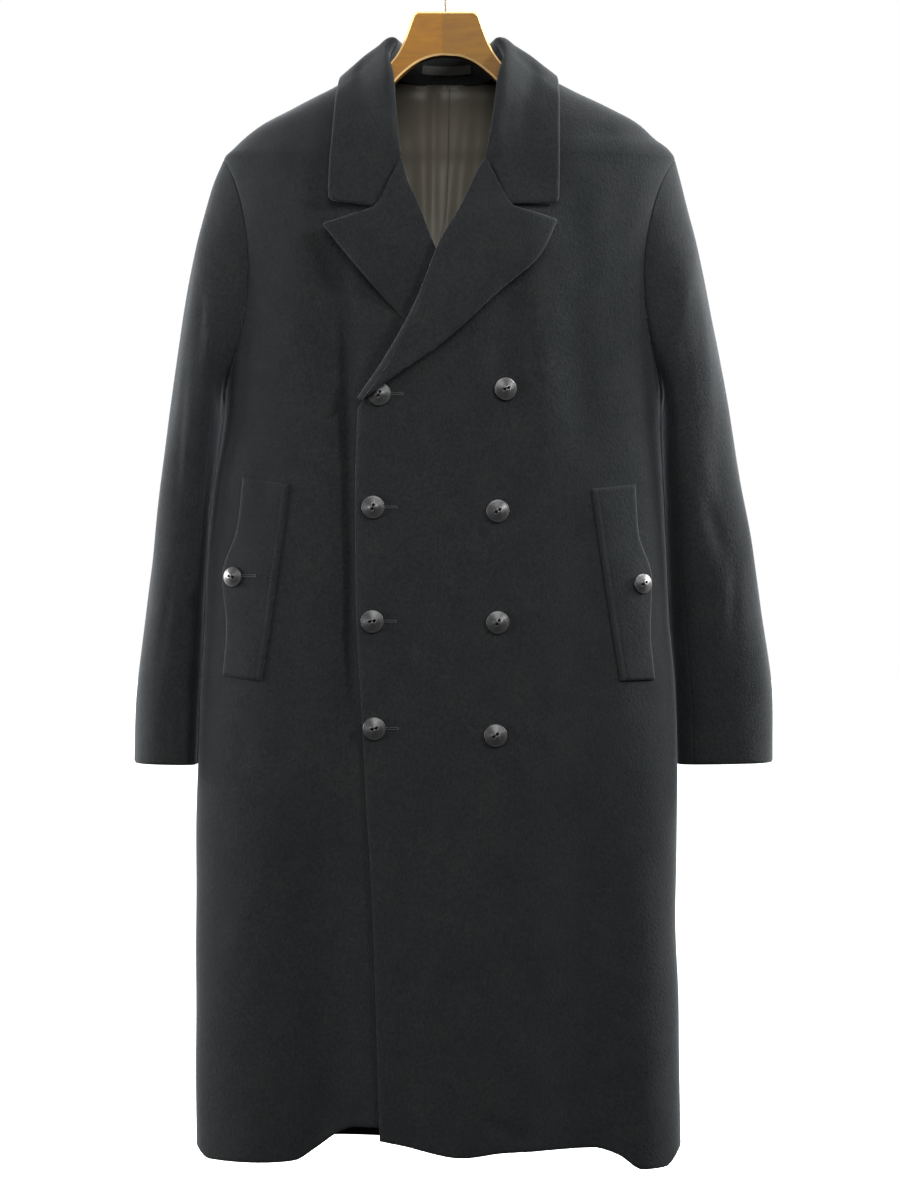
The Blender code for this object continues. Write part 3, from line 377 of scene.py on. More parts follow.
# Lining and label inside the neck
LINING_TOP = -136.5
LINING_LOW = -440
LINING_SHARE = 0.56
LINING_EASE = 4.4      # room for its folds
LINING_START = 16      # below its top, where they are full
LINING_FOLDS = table(
    "x_top z_top x_low z_low half_width height",
    (4,    -90,  -10, -480, 2.0, -1.2),
    (-12,  -60,  -16, -330, 5.5, -3.0),
    (-29,  -90,  -20, -360, 8,   2.0),
    (-46,  -110, -32, -400, 9,   -1.6),
    (14,   -150, -6,  -350, 6,   1.5),
    (30,   -110, 4,   -360, 8,   -2.4),
    (42,   -100, 18,  -420, 9,   2.0),
    (62,   -140, 48,  -420, 14,  -1.8),
    (-70,  -140, -60, -420, 14,  1.8),
)
LINING_SEAM = table("z x", (-138, 4), (-180, 3), (-262, 0.8), (-304, -6.6))
LABEL_WIDTH = 50
LABEL_GAP = 0.5
LABEL_SHARE = (0.28, 0.5)   # of the stand's height

# Hanger
HANGER_JOINT = -4.0
HANGER_TOP = -72.0
HANGER_DEPTH = 22.0
HANGER_CHAMFER = 2.0
HANGER_SHARP = 30      # degrees from which its edges are shaded sharp
HANGER_NECK = table("x z", (30, -72), (34, -75), (39, -88), (46, -106), (54, -120), (65, -131))
HANGER_ARCH = table("x z", (44, -136), (27, -124), (12, -119))
ARCH_PEAK = -118.0
ARM_START = 84.0
ARM_END = 200.0
ARM_STEPS = 9
ARM_UNDER_CLOTH = 5.6
ARM_HEIGHT = 30.0
ARM_SLANT = 9.0
ARM_TIP = table("out down", (5, 10), (1, 23))
WIRE = 3.2
HOOK_INSIDE = 17.0
HOOK_ANGLES = (-35, 205)
HOOK_STEPS = 15
HOOK_BENDS = (0.25, 0.5, 0.75)   # where the curve down to the foot is read
WIRE_TIP = 0.15
HOOK_FOOT = 14.0
HOOK_PULL = (6.5, -14.5)
FOOT_PULL = (0.0, 12.0)

# Fineness of the meshes. Rows and columns close up towards edges by these shares and millimetres.
EDGE_SHARES = np.array((0, 0.002, 0.004, 0.007, 0.011, 0.016))
EDGE_STEPS = np.array((0, 0.7, 1.4, 2.3, 3.5, 5.0))
NECK_ROWS = 14
SHOULDER_ROWS = 24
ARMHOLE_ROWS = 48
ROW_STEP = 5.5
FRONT_COLUMNS = 58
BACK_COLUMNS = 44
EDGE_POINTS = 120
ROLL_STEPS = 9
LAPEL_ROWS = 73
LAPEL_ROW_EDGE = 1.6
LAPEL_COLUMNS = (0.08, 0.94, 26)     # first and last share, and how many
LAPEL_COLUMN_EDGE = 2.5
COLLAR_ROWS = 161
COLLAR_COLUMNS = (0, 0.955, 40)
COLLAR_COLUMN_EDGE = 0.008
LABEL_COLUMN = 14      # the collar's column along which the label is measured
LABEL_ROWS = 9
LABEL_COLUMNS = 41
SLEEVE_ROWS = 130
SLEEVE_ROW_EASE = 0.9
SLEEVE_ROW_START = 0.012
CUFF_STEP = 0.0016     # share of a sleeve for each millimetre at the cuff
CUFF_GAP = 0.002
SLEEVE_STEP = 3.0      # degrees between a sleeve's columns
SLEEVE_EDGE = np.array((0, 0.6, 1.3, 2.2))
WELT_ROWS = (0.03, 0.97, 60)
WELT_ROW_EDGE = 1.6
WELT_COLUMNS = (0.1, 0.9, 18)
WELT_COLUMN_EDGE = 6
STITCH_POINTS = (0.02, 0.98, 90)
STITCH_SIDES = 5
BUTTON_SIDES = 64
BUTTON_RINGS = (40, 10, 6)           # on the top, rim and back
BUTTON_ENDS = (0.004, 0.02)          # shares left open at the tip and the back's middle
LIP_POINTS = 80
BAR_POINTS = 12
CORD_SIDES = 7
LINING_ROWS = 70
LINING_COLUMNS = 121
LINING_SEAM_POINTS = 60
HANGER_POINTS = 150
HOOK_POINTS = 120
WIRE_SIDES = 12
SHELL_SHARP = 75       # degrees from which an edge of the cloth is shaded sharp
STEEP = 0.8            # rise from which a tube's sides are set out from another axis
TINY = 1e-9

# How cloth ends at its edges
TURNED = (1.4, 3.4)    # how deep and how far in a turned edge rounds over
SEWN = (1.1, 4.0)      # the same for the dip beside a seam
PRESSED = (0.5, 3.0)   # and beside a sleeve's pressed seams
RAW = (0.0, 1.0)

# Photograph: its size in pixels, and the camera that matches its frame
PHOTO = (900, 1200)
MM_PER_PIXEL = 1.06    # in the hanger's plane
CAMERA_AWAY = 3400.0
CAMERA_X = 4.24
CAMERA_Z = -694.0
CAMERA_END = 100       # metres
SENSOR = 36.0
FLOOR = -1520.0
FLOOR_RADIUS = 30000.0
FLOOR_SIDES = 96

# Light: how bright the walls are, and from which to which direction they change
FRONT_LIGHT = 0.1
BEHIND_LIGHT = 2.2
ABOVE_LIGHT = 0.9
WALL_BEHIND = (-0.35, 0.45)
WALL_ABOVE = (-0.1, 1.0)
LAMP_SPREAD = 110
# Lamps: name, place and target in metres, size and power
LAMPS = (
    ("key", (2.15, -1.5, 0.7), (0.0, 0.0, -0.45), 0.6, 43),
    ("front", (0.1, -2.1, 0.6), (0.0, 0.0, -0.5), 1.5, 34),
    ("left_low", (-2.2, -0.65, -0.7), (-0.2, 0.0, -0.8), 0.8, 29),
    ("right_side", (2.2, 0.3, 0.3), (0.25, 0.0, -0.4), 0.9, 115),
    ("left_side", (-2.2, 0.3, -0.2), (-0.25, 0.0, -0.5), 0.9, 60),
)


def follow(keys, values, at):
    """Read a smooth curve through the points of two columns that never overshoots them."""
    order = np.argsort(keys)
    key = keys[order]
    value = values[order]
    step = np.diff(key)
    slope = np.diff(value) / step
    middle = np.zeros(len(key) - 2)
    same_way = slope[:-1] * slope[1:] > 0
    middle[same_way] = 2 / (1 / slope[:-1][same_way] + 1 / slope[1:][same_way])
    tangent = np.concatenate((slope[:1], middle, slope[-1:]))
    at = np.clip(np.asarray(at, float), key[0], key[-1])
    i = np.clip(np.searchsorted(key, at, side="right") - 1, 0, len(step) - 1)
    t = (at - key[i]) / step[i]
    rise = value[i] * (1 + 2 * t) * (1 - t) ** 2 + value[i + 1] * t * t * (3 - 2 * t)
    bend = step[i] * (tangent[i] * t * (1 - t) ** 2 + tangent[i + 1] * t * t * (t - 1))
    return rise + bend


def ease(start, end, value):
    """Rise smoothly from 0 at start to 1 at end."""
    t = np.clip((np.asarray(value, float) - start) / (end - start), 0, 1)
    return t * t * (3 - 2 * t)


def unit(vectors):
    """Vectors of length 1 with the same directions."""
    return vectors / np.linalg.norm(vectors, axis=-1, keepdims=True)


def lengths(points, axis=0):
    """Distances along a line of points, or along each row or column of a grid."""
    step = np.linalg.norm(np.diff(points, axis=axis), axis=-1)
    start = np.zeros_like(np.take(step, [0], axis=axis))
    return np.concatenate((start, np.cumsum(step, axis=axis)), axis=axis)


def at_shares(points, shares):
    """Places on the smooth curve through a line of points, at shares of its length."""
    length = lengths(points)
    at = np.asarray(shares, float) * length[-1]
    return np.stack([follow(length, column, at) for column in points.T], axis=-1)


def close_at_ends(edge, first, last, count):
    """Shares from 0 to 1: those of an edge, an even run, and the edge's again from the other end."""
    return np.concatenate((edge, np.linspace(first, last, count), 1 - edge[::-1]))


# The coat's form. A place on it is q and a height: q runs 0 to 4 round the section, from the
# -X side over the front (1) to the +X side (2), the centre back (3) and home.
ROUND_QUARTER = np.linspace(0, math.pi / 2, 129)


def body_at(name, z):
    """One column of the body's sections at a height."""
    return follow(BODY["z"], BODY[name], z)


def quarter(width, depth, square):
    """Points round a quarter of a section from its side to its middle, with shares of its length."""
    power = square[..., None]
    cosine = np.cos(ROUND_QUARTER).clip(0)
    sine = np.sin(ROUND_QUARTER)
    reach = (cosine ** power + sine ** power) ** (-1 / power)
    across = width[..., None] * cosine * reach
    deep = depth[..., None] * sine * reach
    length = np.cumsum(np.hypot(np.diff(across), np.diff(deep)), axis=-1)
    share = np.concatenate((np.zeros_like(length[..., :1]), length), axis=-1) / length[..., -1:]
    return across, deep, share


def read_rows(keys, values, at):
    """Read each row of values where the same row of rising keys reaches at."""
    k = np.clip((keys < at[..., None]).sum(-1), 1, keys.shape[-1] - 1)[..., None]
    low = np.take_along_axis(keys, k - 1, -1)
    high = np.take_along_axis(keys, k, -1)
    t = np.clip((at[..., None] - low) / (high - low), 0, 1)
    value = np.take_along_axis(values, k - 1, -1) * (1 - t) + np.take_along_axis(values, k, -1) * t
    return value[..., 0]


def form(q, z):
    """Point of the bare form at q and height z."""
    q, z = np.broadcast_arrays(np.mod(np.asarray(q, float), 4), np.asarray(z, float))
    minus_x = (q < 1) | (q >= 3)
    front = q < 2
    width = np.where(minus_x, body_at("left", z), body_at("right", z))
    depth = np.where(front, body_at("front", z), body_at("back", z))
    from_side = np.where(minus_x, np.minimum(q, 4 - q), np.abs(q - 2))
    across, deep, share = quarter(width, depth, body_at("square", z))
    x = read_rows(share, across, from_side) * np.where(minus_x, -1, 1)
    y = read_rows(share, deep, from_side) * np.where(front, -1, 1)
    return np.stack((x, y, z), axis=-1)


def outward(q, z):
    """Direction that points out of the form."""
    small_q = 0.004
    small_z = 0.6
    round_it = form(q + small_q, z) - form(q - small_q, z)
    down = form(q, z - small_z) - form(q, z + small_z)
    return unit(np.cross(down, round_it))


def line_folds(folds, x, z):
    """Height at places x, z of folds that run along lines and fade at both ends."""
    height = np.zeros_like(x)
    for fold in rows_of(folds):
        along = (fold["z_top"] - z) / (fold["z_top"] - fold["z_low"])
        middle = fold["x_top"] + (fold["x_low"] - fold["x_top"]) * along
        window = ease(0, FOLD_END, along) * (1 - ease(1 - FOLD_END, 1, along))
        height = height + fold["height"] * window * np.exp(-((x - middle) / fold["half_width"]) ** 2)
    return height


def uneven(x, z):
    """Slight unevenness of hung cloth."""
    height = np.zeros_like(x)
    for wave in rows_of(WAVES):
        turn = 2 * math.pi * (x / wave["length_x"] + z / wave["length_z"]) + wave["turn"]
        height = height + wave["height"] * np.sin(turn)
    return height


def body_folds(point):
    """Height of the body's folds and creases at points of the form."""
    x, y, z = np.moveaxis(point, -1, 0)
    front = line_folds(FRONT_FOLDS, x, z) + line_folds(FRONT_CREASES, x, z)
    back = line_folds(BACK_CREASES, x, z)
    start, end = FOLD_SIDE
    return front * ease(start, end, y) + back * ease(-start, -end, y) + uneven(x, z)


def surface(q, z):
    """Points of the coat's outer face at q and z, and the directions out of it."""
    point = form(q, z)
    normal = outward(q, z)
    return point + normal * body_folds(point)[..., None], normal


def cloth(q, z, lift):
    """Point of the coat's outer face at q and z, moved out by lift."""
    point, normal = surface(q, z)
    return point + normal * np.asarray(lift)[..., None]


def share_from_side(x, z, depth_name):
    """Share of a quarter, from its side, of the place that is x from the middle line."""
    x, z = np.broadcast_arrays(np.asarray(x, float), np.asarray(z, float))
    width = np.where(x < 0, body_at("left", z), body_at("right", z))
    across, deep, share = quarter(width, body_at(depth_name, z), body_at("square", z))
    return read_rows(-across, share, -np.abs(x))


def front_q(x, z):
    """The q of the place on the front that is x from the middle line."""
    from_side = share_from_side(x, z, "front")
    return np.where(np.asarray(x) < 0, from_side, 2 - from_side)


def back_q(x, z):
    """The q of the place on the back that is x from the middle line."""
    from_side = share_from_side(x, z, "back")
    return np.where(np.asarray(x) < 0, 4 - from_side, 2 + from_side)


def base_lift(side, x, z):
    """Lift of a front's outer face: the +X front lies over the other one."""
    x, z = np.broadcast_arrays(np.asarray(x, float), np.asarray(z, float))
    if side < 0:
        return np.zeros_like(x)
    pad = 1 - ease(*LAPEL_PAD_END, z)
    return (LAP_LIFT + LAPEL_PAD * pad) * ease(*LAP_FADE, x) * ease(*LAP_TOP, z)


def on_front(side, x, z, lift):
    """Place on the outer face of one front, moved out by lift."""
    q = front_q(x, z)
    return cloth(q, np.broadcast_to(z, q.shape), base_lift(side, x, z) + lift)


# Meshes
def mesh_object(name, points, faces, look):
    """An object made of points in millimetres and a list of faces."""
    mesh = bpy.data.meshes.new(name)
    mesh.from_pydata((np.asarray(points) * MM).tolist(), [], faces)
    mesh.materials.append(look)
    mesh.shade_smooth()
    made = bpy.data.objects.new(name, mesh)
    bpy.context.scene.collection.objects.link(made)
    return made


def dress(made, node=None):
    """Let a piece move with the coat and stand for one of the part's nodes."""
    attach(made, "root")
    if node:
        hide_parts(node)


def edge_drop(grid, left=RAW, right=RAW, top=RAW, low=RAW):
    """How far the outer face sinks towards the edges of a grid."""
    across = lengths(grid, 1)
    down = lengths(grid, 0)
    away = (across, across[:, -1:] - across, down, down[-1:] - down)
    total = np.zeros(grid.shape[:2])
    for distance, (depth, reach) in zip(away, (left, right, top, low)):
        total = np.maximum(total, depth * np.clip(1 - distance / reach, 0, 1) ** 2)
    return total


def round_corner(grid, row_end, column_end, radius):
    """Round one corner of a grid of points by drawing it in along the rows and columns."""
    rows = slice(None, None, -1) if row_end else slice(None)
    columns = slice(None, None, -1) if column_end else slice(None)
    turned = grid[rows, columns]
    away_row = np.clip(1 - lengths(turned, 0) / radius, 0, 1)
    away_column = np.clip(1 - lengths(turned, 1) / radius, 0, 1)
    most = np.maximum(away_row, away_column)
    scale = most / np.maximum(np.hypot(away_row, away_column), TINY)
    along_row = unit(np.gradient(turned, axis=0))
    along_column = unit(np.gradient(turned, axis=1))
    moved = turned + along_row * (radius * away_row * (1 - scale))[..., None]
    moved = moved + along_column * (radius * away_column * (1 - scale))[..., None]
    return moved[rows, columns]


def shell(name, outer, inner, look):
    """A closed wall between two matching grids of points (rows, columns, 3)."""
    rows, columns = outer.shape[:2]
    count = rows * columns
    at = np.arange(count).reshape(rows, columns)
    face = np.stack((at[:-1, :-1], at[:-1, 1:], at[1:, 1:], at[1:, :-1]), -1).reshape(-1, 4)
    rim = np.concatenate((at[0, :-1], at[:-1, -1], at[-1, :0:-1], at[:0:-1, 0]))
    ahead = np.roll(rim, -1)
    sides = np.stack((rim, rim + count, ahead + count, ahead), -1)
    faces = np.concatenate((face, face[:, ::-1] + count, sides))
    i, j = rows // 2, columns // 2
    facing = np.cross(outer[i, j + 1] - outer[i, j], outer[i + 1, j] - outer[i, j])
    if facing @ (outer[i, j] - inner[i, j]) < 0:
        faces = faces[:, ::-1]
    points = np.concatenate((outer.reshape(-1, 3), inner.reshape(-1, 3)))
    made = mesh_object(name, points, faces.tolist(), look)
    made.data.set_sharp_from_angle(angle=math.radians(SHELL_SHARP))
    return made


def tube(points, radii, sides=6):
    """Points and faces of a closed round rope along a line of points."""
    points = np.asarray(points, float)
    along = unit(np.gradient(points, axis=0))
    start = np.array((0.0, 0.0, 1.0)) if abs(along[0][2]) < STEEP else np.array((1.0, 0.0, 0.0))
    across = unit(np.cross(along, start))
    other = np.cross(along, across)
    turn = np.linspace(0, 2 * math.pi, sides, endpoint=False)[None, :, None]
    ring = np.cos(turn) * across[:, None] + np.sin(turn) * other[:, None]
    rings = points[:, None] + ring * np.broadcast_to(radii, len(points))[:, None, None]
    at = np.arange(len(points) * sides).reshape(len(points), sides)
    ahead = np.roll(at, -1, axis=1)
    faces = np.stack((at[:-1], ahead[:-1], ahead[1:], at[1:]), -1).reshape(-1, 4).tolist()
    faces += [at[0, ::-1].tolist(), at[-1].tolist()]
    return rings.reshape(-1, 3), faces


def joined(name, parts, look):
    """One object from several lists of points and faces."""
    points = []
    faces = []
    for part_points, part_faces in parts:
        start = sum(len(done) for done in points)
        points.append(part_points)
        faces += [[start + i for i in face] for face in part_faces]
    return mesh_object(name, np.concatenate(points), faces, look)


# Materials
def shader(name, values):
    """A material whose constant values are set on the shader's own sockets."""
    made = bpy.data.materials.new(name)
    made.use_nodes = True
    main = made.node_tree.nodes["Principled BSDF"]
    for socket, value in values.items():
        main.inputs[socket].default_value = value
    return made, made.node_tree, main


def add_node(tree, kind, inputs=None, **settings):
    """A node with its settings, and its inputs set to values or linked to sockets."""
    made = tree.nodes.new(kind)
    for name, value in settings.items():
        setattr(made, name, value)
    for name, value in (inputs or {}).items():
        if isinstance(value, bpy.types.NodeSocket):
            tree.links.new(value, made.inputs[name])
        else:
            made.inputs[name].default_value = value
    return made


def noise(tree, scale, detail=3.0, stretch=(1, 1, 1), rough=0.55):
    """Noise in the object's own metres, scale waves to the metre."""
    place = add_node(tree, "ShaderNodeTexCoord").outputs["Object"]
    spread = add_node(tree, "ShaderNodeMapping", {"Vector": place, "Scale": stretch})
    inputs = {"Vector": spread.outputs["Vector"], "Scale": scale, "Detail": detail, "Roughness": rough}
    return add_node(tree, "ShaderNodeTexNoise", inputs).outputs["Fac"]


def blend(tree, amount, first, second, blend_type="MIX"):
    """Mix two colours, or two sockets of colour, by an amount."""
    inputs = {0: amount, 6: first, 7: second}
    made = add_node(tree, "ShaderNodeMix", inputs, data_type="RGBA", blend_type=blend_type)
    return made.outputs[2]


def steps(tree, value, low, high):
    """Stretch a value's range from low..high to 0..1."""
    inputs = {"Value": value, "From Min": low, "From Max": high}
    return add_node(tree, "ShaderNodeMapRange", inputs).outputs["Result"]


def bump(tree, height, depth, strength, below=None):
    """Relief of a depth in millimetres, over another relief if one is given."""
    inputs = {"Height": height, "Distance": depth * MM, "Strength": strength}
    if below is not None:
        inputs["Normal"] = below
    return add_node(tree, "ShaderNodeBump", inputs).outputs["Normal"]


def wear(main, tone, rough=None, relief=None):
    """Link a colour to a shader, and a roughness and a relief where they are given."""
    for socket, value in (("Base Color", tone), ("Roughness", rough), ("Normal", relief)):
        if value is not None:
            main.id_data.links.new(value, main.inputs[socket])


def colour(red, green, blue):
    """A colour with no see-through."""
    return (red, green, blue, 1.0)


def make_wool(name, dark, light):
    """Charcoal wool with a short nap that lies downwards."""
    made, tree, main = shader(name, {
        "Roughness": 0.95, "Specular IOR Level": 0.08,
        "Sheen Weight": 0.13, "Sheen Roughness": 0.3, "Sheen Tint": colour(0.86, 0.92, 1.0),
    })
    nap = noise(tree, 1300, 4, (1, 1, 0.4))
    flock = noise(tree, 420, 3, (1, 1, 0.7))
    broad = noise(tree, 34, 3)
    grain = add_node(tree, "ShaderNodeMath", {0: nap, 1: flock}, operation="ADD").outputs[0]
    mottled = blend(tree, steps(tree, grain, 0.78, 1.26), dark, light)
    faded = blend(tree, steps(tree, broad, 0.35, 0.7), colour(0.86, 0.87, 0.9), colour(1.1, 1.08, 1.05))
    relief = bump(tree, nap, 0.45, 0.7, bump(tree, flock, 0.8, 0.5))
    wear(main, blend(tree, 1.0, mottled, faded, "MULTIPLY"), relief=relief)
    return made


def make_satin():
    """Brown-grey lining satin with its threads running down."""
    made, tree, main = shader("lining_satin", {"Specular IOR Level": 0.12})
    thread = noise(tree, 2600, 2, (1, 1, 0.06))
    broad = noise(tree, 26, 2)
    tone = blend(tree, broad, colour(0.040, 0.036, 0.028), colour(0.053, 0.048, 0.037))
    wear(main, tone, steps(tree, thread, -0.4, 1.7), bump(tree, thread, 0.12, 0.35))
    return made


def make_horn():
    """Grey horn-like buttons, streaked and softly polished."""
    made, tree, main = shader("button_horn", {"Specular IOR Level": 0.32})
    streak = steps(tree, noise(tree, 90, 4, (1, 0.25, 1), 0.6), 0.3, 0.7)
    fine = noise(tree, 700, 3)
    tone = blend(tree, streak, colour(0.006, 0.006, 0.007), colour(0.020, 0.019, 0.019))
    wear(main, tone, steps(tree, fine, -0.5, 2.2), bump(tree, fine, 0.05, 0.2))
    return made


def make_wood(name, pale, deep):
    """Lacquered wood with long grain and small pores."""
    made, tree, main = shader(name, {"Specular IOR Level": 0.05})
    warp = noise(tree, 18, 3, (0.5, 1, 1.6))
    grain = noise(tree, 150, 5, (0.22, 1, 1.3), 0.65)
    pore = noise(tree, 900, 2, (0.08, 1, 1))
    first = blend(tree, steps(tree, grain, 0.32, 0.68), deep, pale)
    tone = blend(tree, steps(tree, warp, 0.2, 0.95), first, pale)
    dark = blend(tree, steps(tree, pore, 0.62, 0.74), tone, deep)
    wear(main, dark, steps(tree, grain, -0.5, 2.0), bump(tree, grain, 0.12, 0.25))
    return made


def make_wire():
    """Bronzed steel wire with a few worn streaks."""
    made, tree, main = shader("hook_wire", {"Metallic": 0.85})
    worn = noise(tree, 240, 4)
    streak = steps(tree, worn, 0.35, 0.75)
    tone = blend(tree, streak, colour(0.05, 0.037, 0.028), colour(0.16, 0.125, 0.095))
    wear(main, tone, steps(tree, worn, -0.3, 2.0))
    return made


def make_tape():
    """Bare woven tape for the label."""
    made, tree, main = shader("label_tape", {"Roughness": 0.8, "Specular IOR Level": 0.2})
    warp = noise(tree, 2400, 1, (1, 1, 0.1))
    weft = noise(tree, 2400, 1, (0.1, 1, 1))
    tone = blend(tree, warp, colour(0.014, 0.0145, 0.014), colour(0.032, 0.033, 0.032))
    wear(main, tone, relief=bump(tree, weft, 0.15, 0.5, bump(tree, warp, 0.15, 0.5)))
    return made


def make_thread():
    """Dark sewing thread."""
    made, tree, main = shader("sewing_thread", {"Roughness": 0.7, "Specular IOR Level": 0.2})
    twist = noise(tree, 3000, 1)
    wear(main, blend(tree, twist, colour(0.007, 0.0075, 0.008), colour(0.016, 0.017, 0.018)))
    return made


WOOL = make_wool("coat_wool", colour(0.0036, 0.0043, 0.0045), colour(0.0080, 0.0089, 0.0092))
SATIN = make_satin()
HORN = make_horn()
LIGHT_WOOD = make_wood("hanger_light_wood", colour(0.142, 0.064, 0.008), colour(0.089, 0.036, 0.004))
DARK_WOOD = make_wood("hanger_dark_wood", colour(0.112, 0.055, 0.010), colour(0.070, 0.031, 0.005))
# Pale wood for the hanger's chamfers: a painted highlight along its edges
PAINTED_HIGHLIGHT_WOOD = make_wood("hanger_painted_highlight_edge", colour(0.46, 0.31, 0.14), colour(0.34, 0.21, 0.08))
WIRE_LOOK = make_wire()
TAPE = make_tape()
THREAD_LOOK = make_thread()


def wool_piece(node, outer, inner):
    """One of the coat's wool pieces, a wall between two grids of points."""
    dress(shell("wool_" + node, outer, inner, WOOL), node)


# Fronts and backs
def fine_rows():
    """Heights of the panels' rows, closest at the neck, shoulder tips and hem."""
    neck = BACK_NECK + (NECK_TOP - BACK_NECK) * (1 - np.linspace(0, 1, NECK_ROWS)) ** 2
    shoulder = np.linspace(BACK_NECK, SHOULDER_TIP, SHOULDER_ROWS)[1:-1]
    armhole = ARMHOLE_MIDDLE + ARMHOLE_HALF * np.cos(np.linspace(0, math.pi, ARMHOLE_ROWS))
    count = int((UNDERARM - BACK_HEM) / ROW_STEP)
    lower = np.linspace(UNDERARM, BACK_HEM + EDGE_STEPS[-1], count)[1:-1]
    return np.concatenate((neck, shoulder, armhole, lower, BACK_HEM + EDGE_STEPS[::-1]))


def fine_shares(columns):
    """Shares across a panel, closest at both edges."""
    first, last = np.linspace(EDGE_SHARES[-1], 1 - EDGE_SHARES[-1], columns)[[1, -2]]
    return close_at_ends(EDGE_SHARES, first, last, columns - 2)


def armhole_share(z):
    """How far round the armhole's cut is at a height: 0 at the shoulder and underarm, 1 between."""
    return np.sqrt(np.clip(1 - ((z - ARMHOLE_MIDDLE) / ARMHOLE_HALF) ** 2, 0, 1))


def side_share(z):
    """How far behind the side the side seam runs."""
    return SIDE_SEAM * ease(UNDERARM, UNDERARM - SIDE_SEAM_RUN, z)


def seam_share(gap):
    """A seam's half gap as a share of a quarter of the section."""
    quarter_length = BODY["left"][-1] + BODY["front"][-1] / 2
    return gap / 2 / quarter_length


def hem_rows(rows, x, hem):
    """Let the lowest rows run down to the hem's own line."""
    hem_z = follow(hem["x"], hem["z"], x)
    share = np.clip((HEM_START - rows) / (HEM_START - BACK_HEM), 0, 1)
    return rows + (hem_z - BACK_HEM) * share ** HEM_EASE


def front_panel(node, side, hem):
    """A front, from its inner edge to the armhole and side seam."""
    rows = fine_rows()[:, None]
    start = front_q(inner_edge(side, rows), rows)
    cut = ARMHOLE_FRONT * armhole_share(rows) - side_share(rows) - seam_share(TUCK)
    end = cut if side < 0 else 2 - cut
    q = start + (end - start) * fine_shares(FRONT_COLUMNS)[None, :]
    place_x = form(q, rows)[..., 0]
    # Behind its widest place a front keeps the side's own height of hem
    hem_x = side * np.maximum.accumulate(side * place_x, axis=1)
    z = hem_rows(np.broadcast_to(rows, q.shape), hem_x, hem)
    lift = base_lift(side, place_x, z)
    point, normal = surface(q, z)
    drop = edge_drop(point, left=TURNED, right=SEWN, low=TURNED)
    outer = point + normal * (lift - drop)[..., None]
    wool_piece(node, outer, point + normal * (lift - CLOTH)[..., None])


def back_panel(node, side):
    """A back, from the centre seam to the armhole and side seam."""
    rows = fine_rows()[:, None]
    neck = np.sqrt(np.clip((rows - BACK_NECK) / (NECK_TOP - BACK_NECK), 0, 1))
    middle = BACK_NECK_REACH * neck - seam_share(TUCK)
    cut = ARMHOLE_BACK * armhole_share(rows) + side_share(rows) - seam_share(TUCK)
    start = 3 - side * middle
    end = 2 + cut if side > 0 else 4 - cut
    q = start + (end - start) * fine_shares(BACK_COLUMNS)[None, :]
    point, normal = surface(q, np.broadcast_to(rows, q.shape))
    drop = edge_drop(point, left=SEWN, right=SEWN, low=TURNED)
    wool_piece(node, point - normal * drop[..., None], point - normal * CLOTH)


# Lapels
def along_line(line, share):
    """Place on a line of points at shares of its length."""
    return at_shares(np.stack((line["x"], line["z"]), axis=-1), share)


def lapel_row(shape, share, across):
    """Place on the front of a row's point, at a share of the row from the roll line to the edge."""
    roll = along_line(shape["roll"], share)
    edge = along_line(shape["edge"], share)
    top = along_line(shape["top"], across)
    top_line = along_line(shape["top"], 0) * (1 - across) + along_line(shape["top"], 1) * across
    return roll * (1 - across) + edge * across + (top - top_line) * (1 - share) ** 2


def roll_start(shape, share):
    """A row's place on the visible roll line, its direction from there, and the radius of its roll."""
    start = lapel_row(shape, share, 0.0)
    toward = unit(lapel_row(shape, share, np.interp(share, *ROLL_LOOK.values())) - start)
    return start, toward, follow(*shape["roll_radius"].values(), share)


def lapel_rows():
    """Shares of a lapel's rows, closest at its top edge."""
    first = EDGE_SHARES * LAPEL_ROW_EDGE
    return np.concatenate((first, np.linspace(first[-1], 1, LAPEL_ROWS - len(first) + 1)[1:]))


def inner_edge(side, z):
    """Where a front ends at a height: its neck seam, the sewn side of its lapel's roll, or its edge."""
    neck, shape, edge = RIGHT_NECK, RIGHT_LAPEL, RIGHT_EDGE
    if side > 0:
        neck, shape, edge = LEFT_NECK, LEFT_LAPEL, LEFT_EDGE
    roll = []
    for share in lapel_rows():
        start, toward, radius = roll_start(shape, share)
        roll.append(start + toward * (radius + CLOTH))
    roll_x, roll_z = np.array(roll).T
    edge_z = np.linspace(edge["z"][0], edge["z"][-1], EDGE_POINTS)
    keys = np.concatenate((neck["z"], roll_z, edge_z))
    values = np.concatenate((neck["x"], roll_x + side * ROLL_GAP, follow(edge["z"], edge["x"], edge_z)))
    return np.interp(-np.asarray(z), -keys, values)


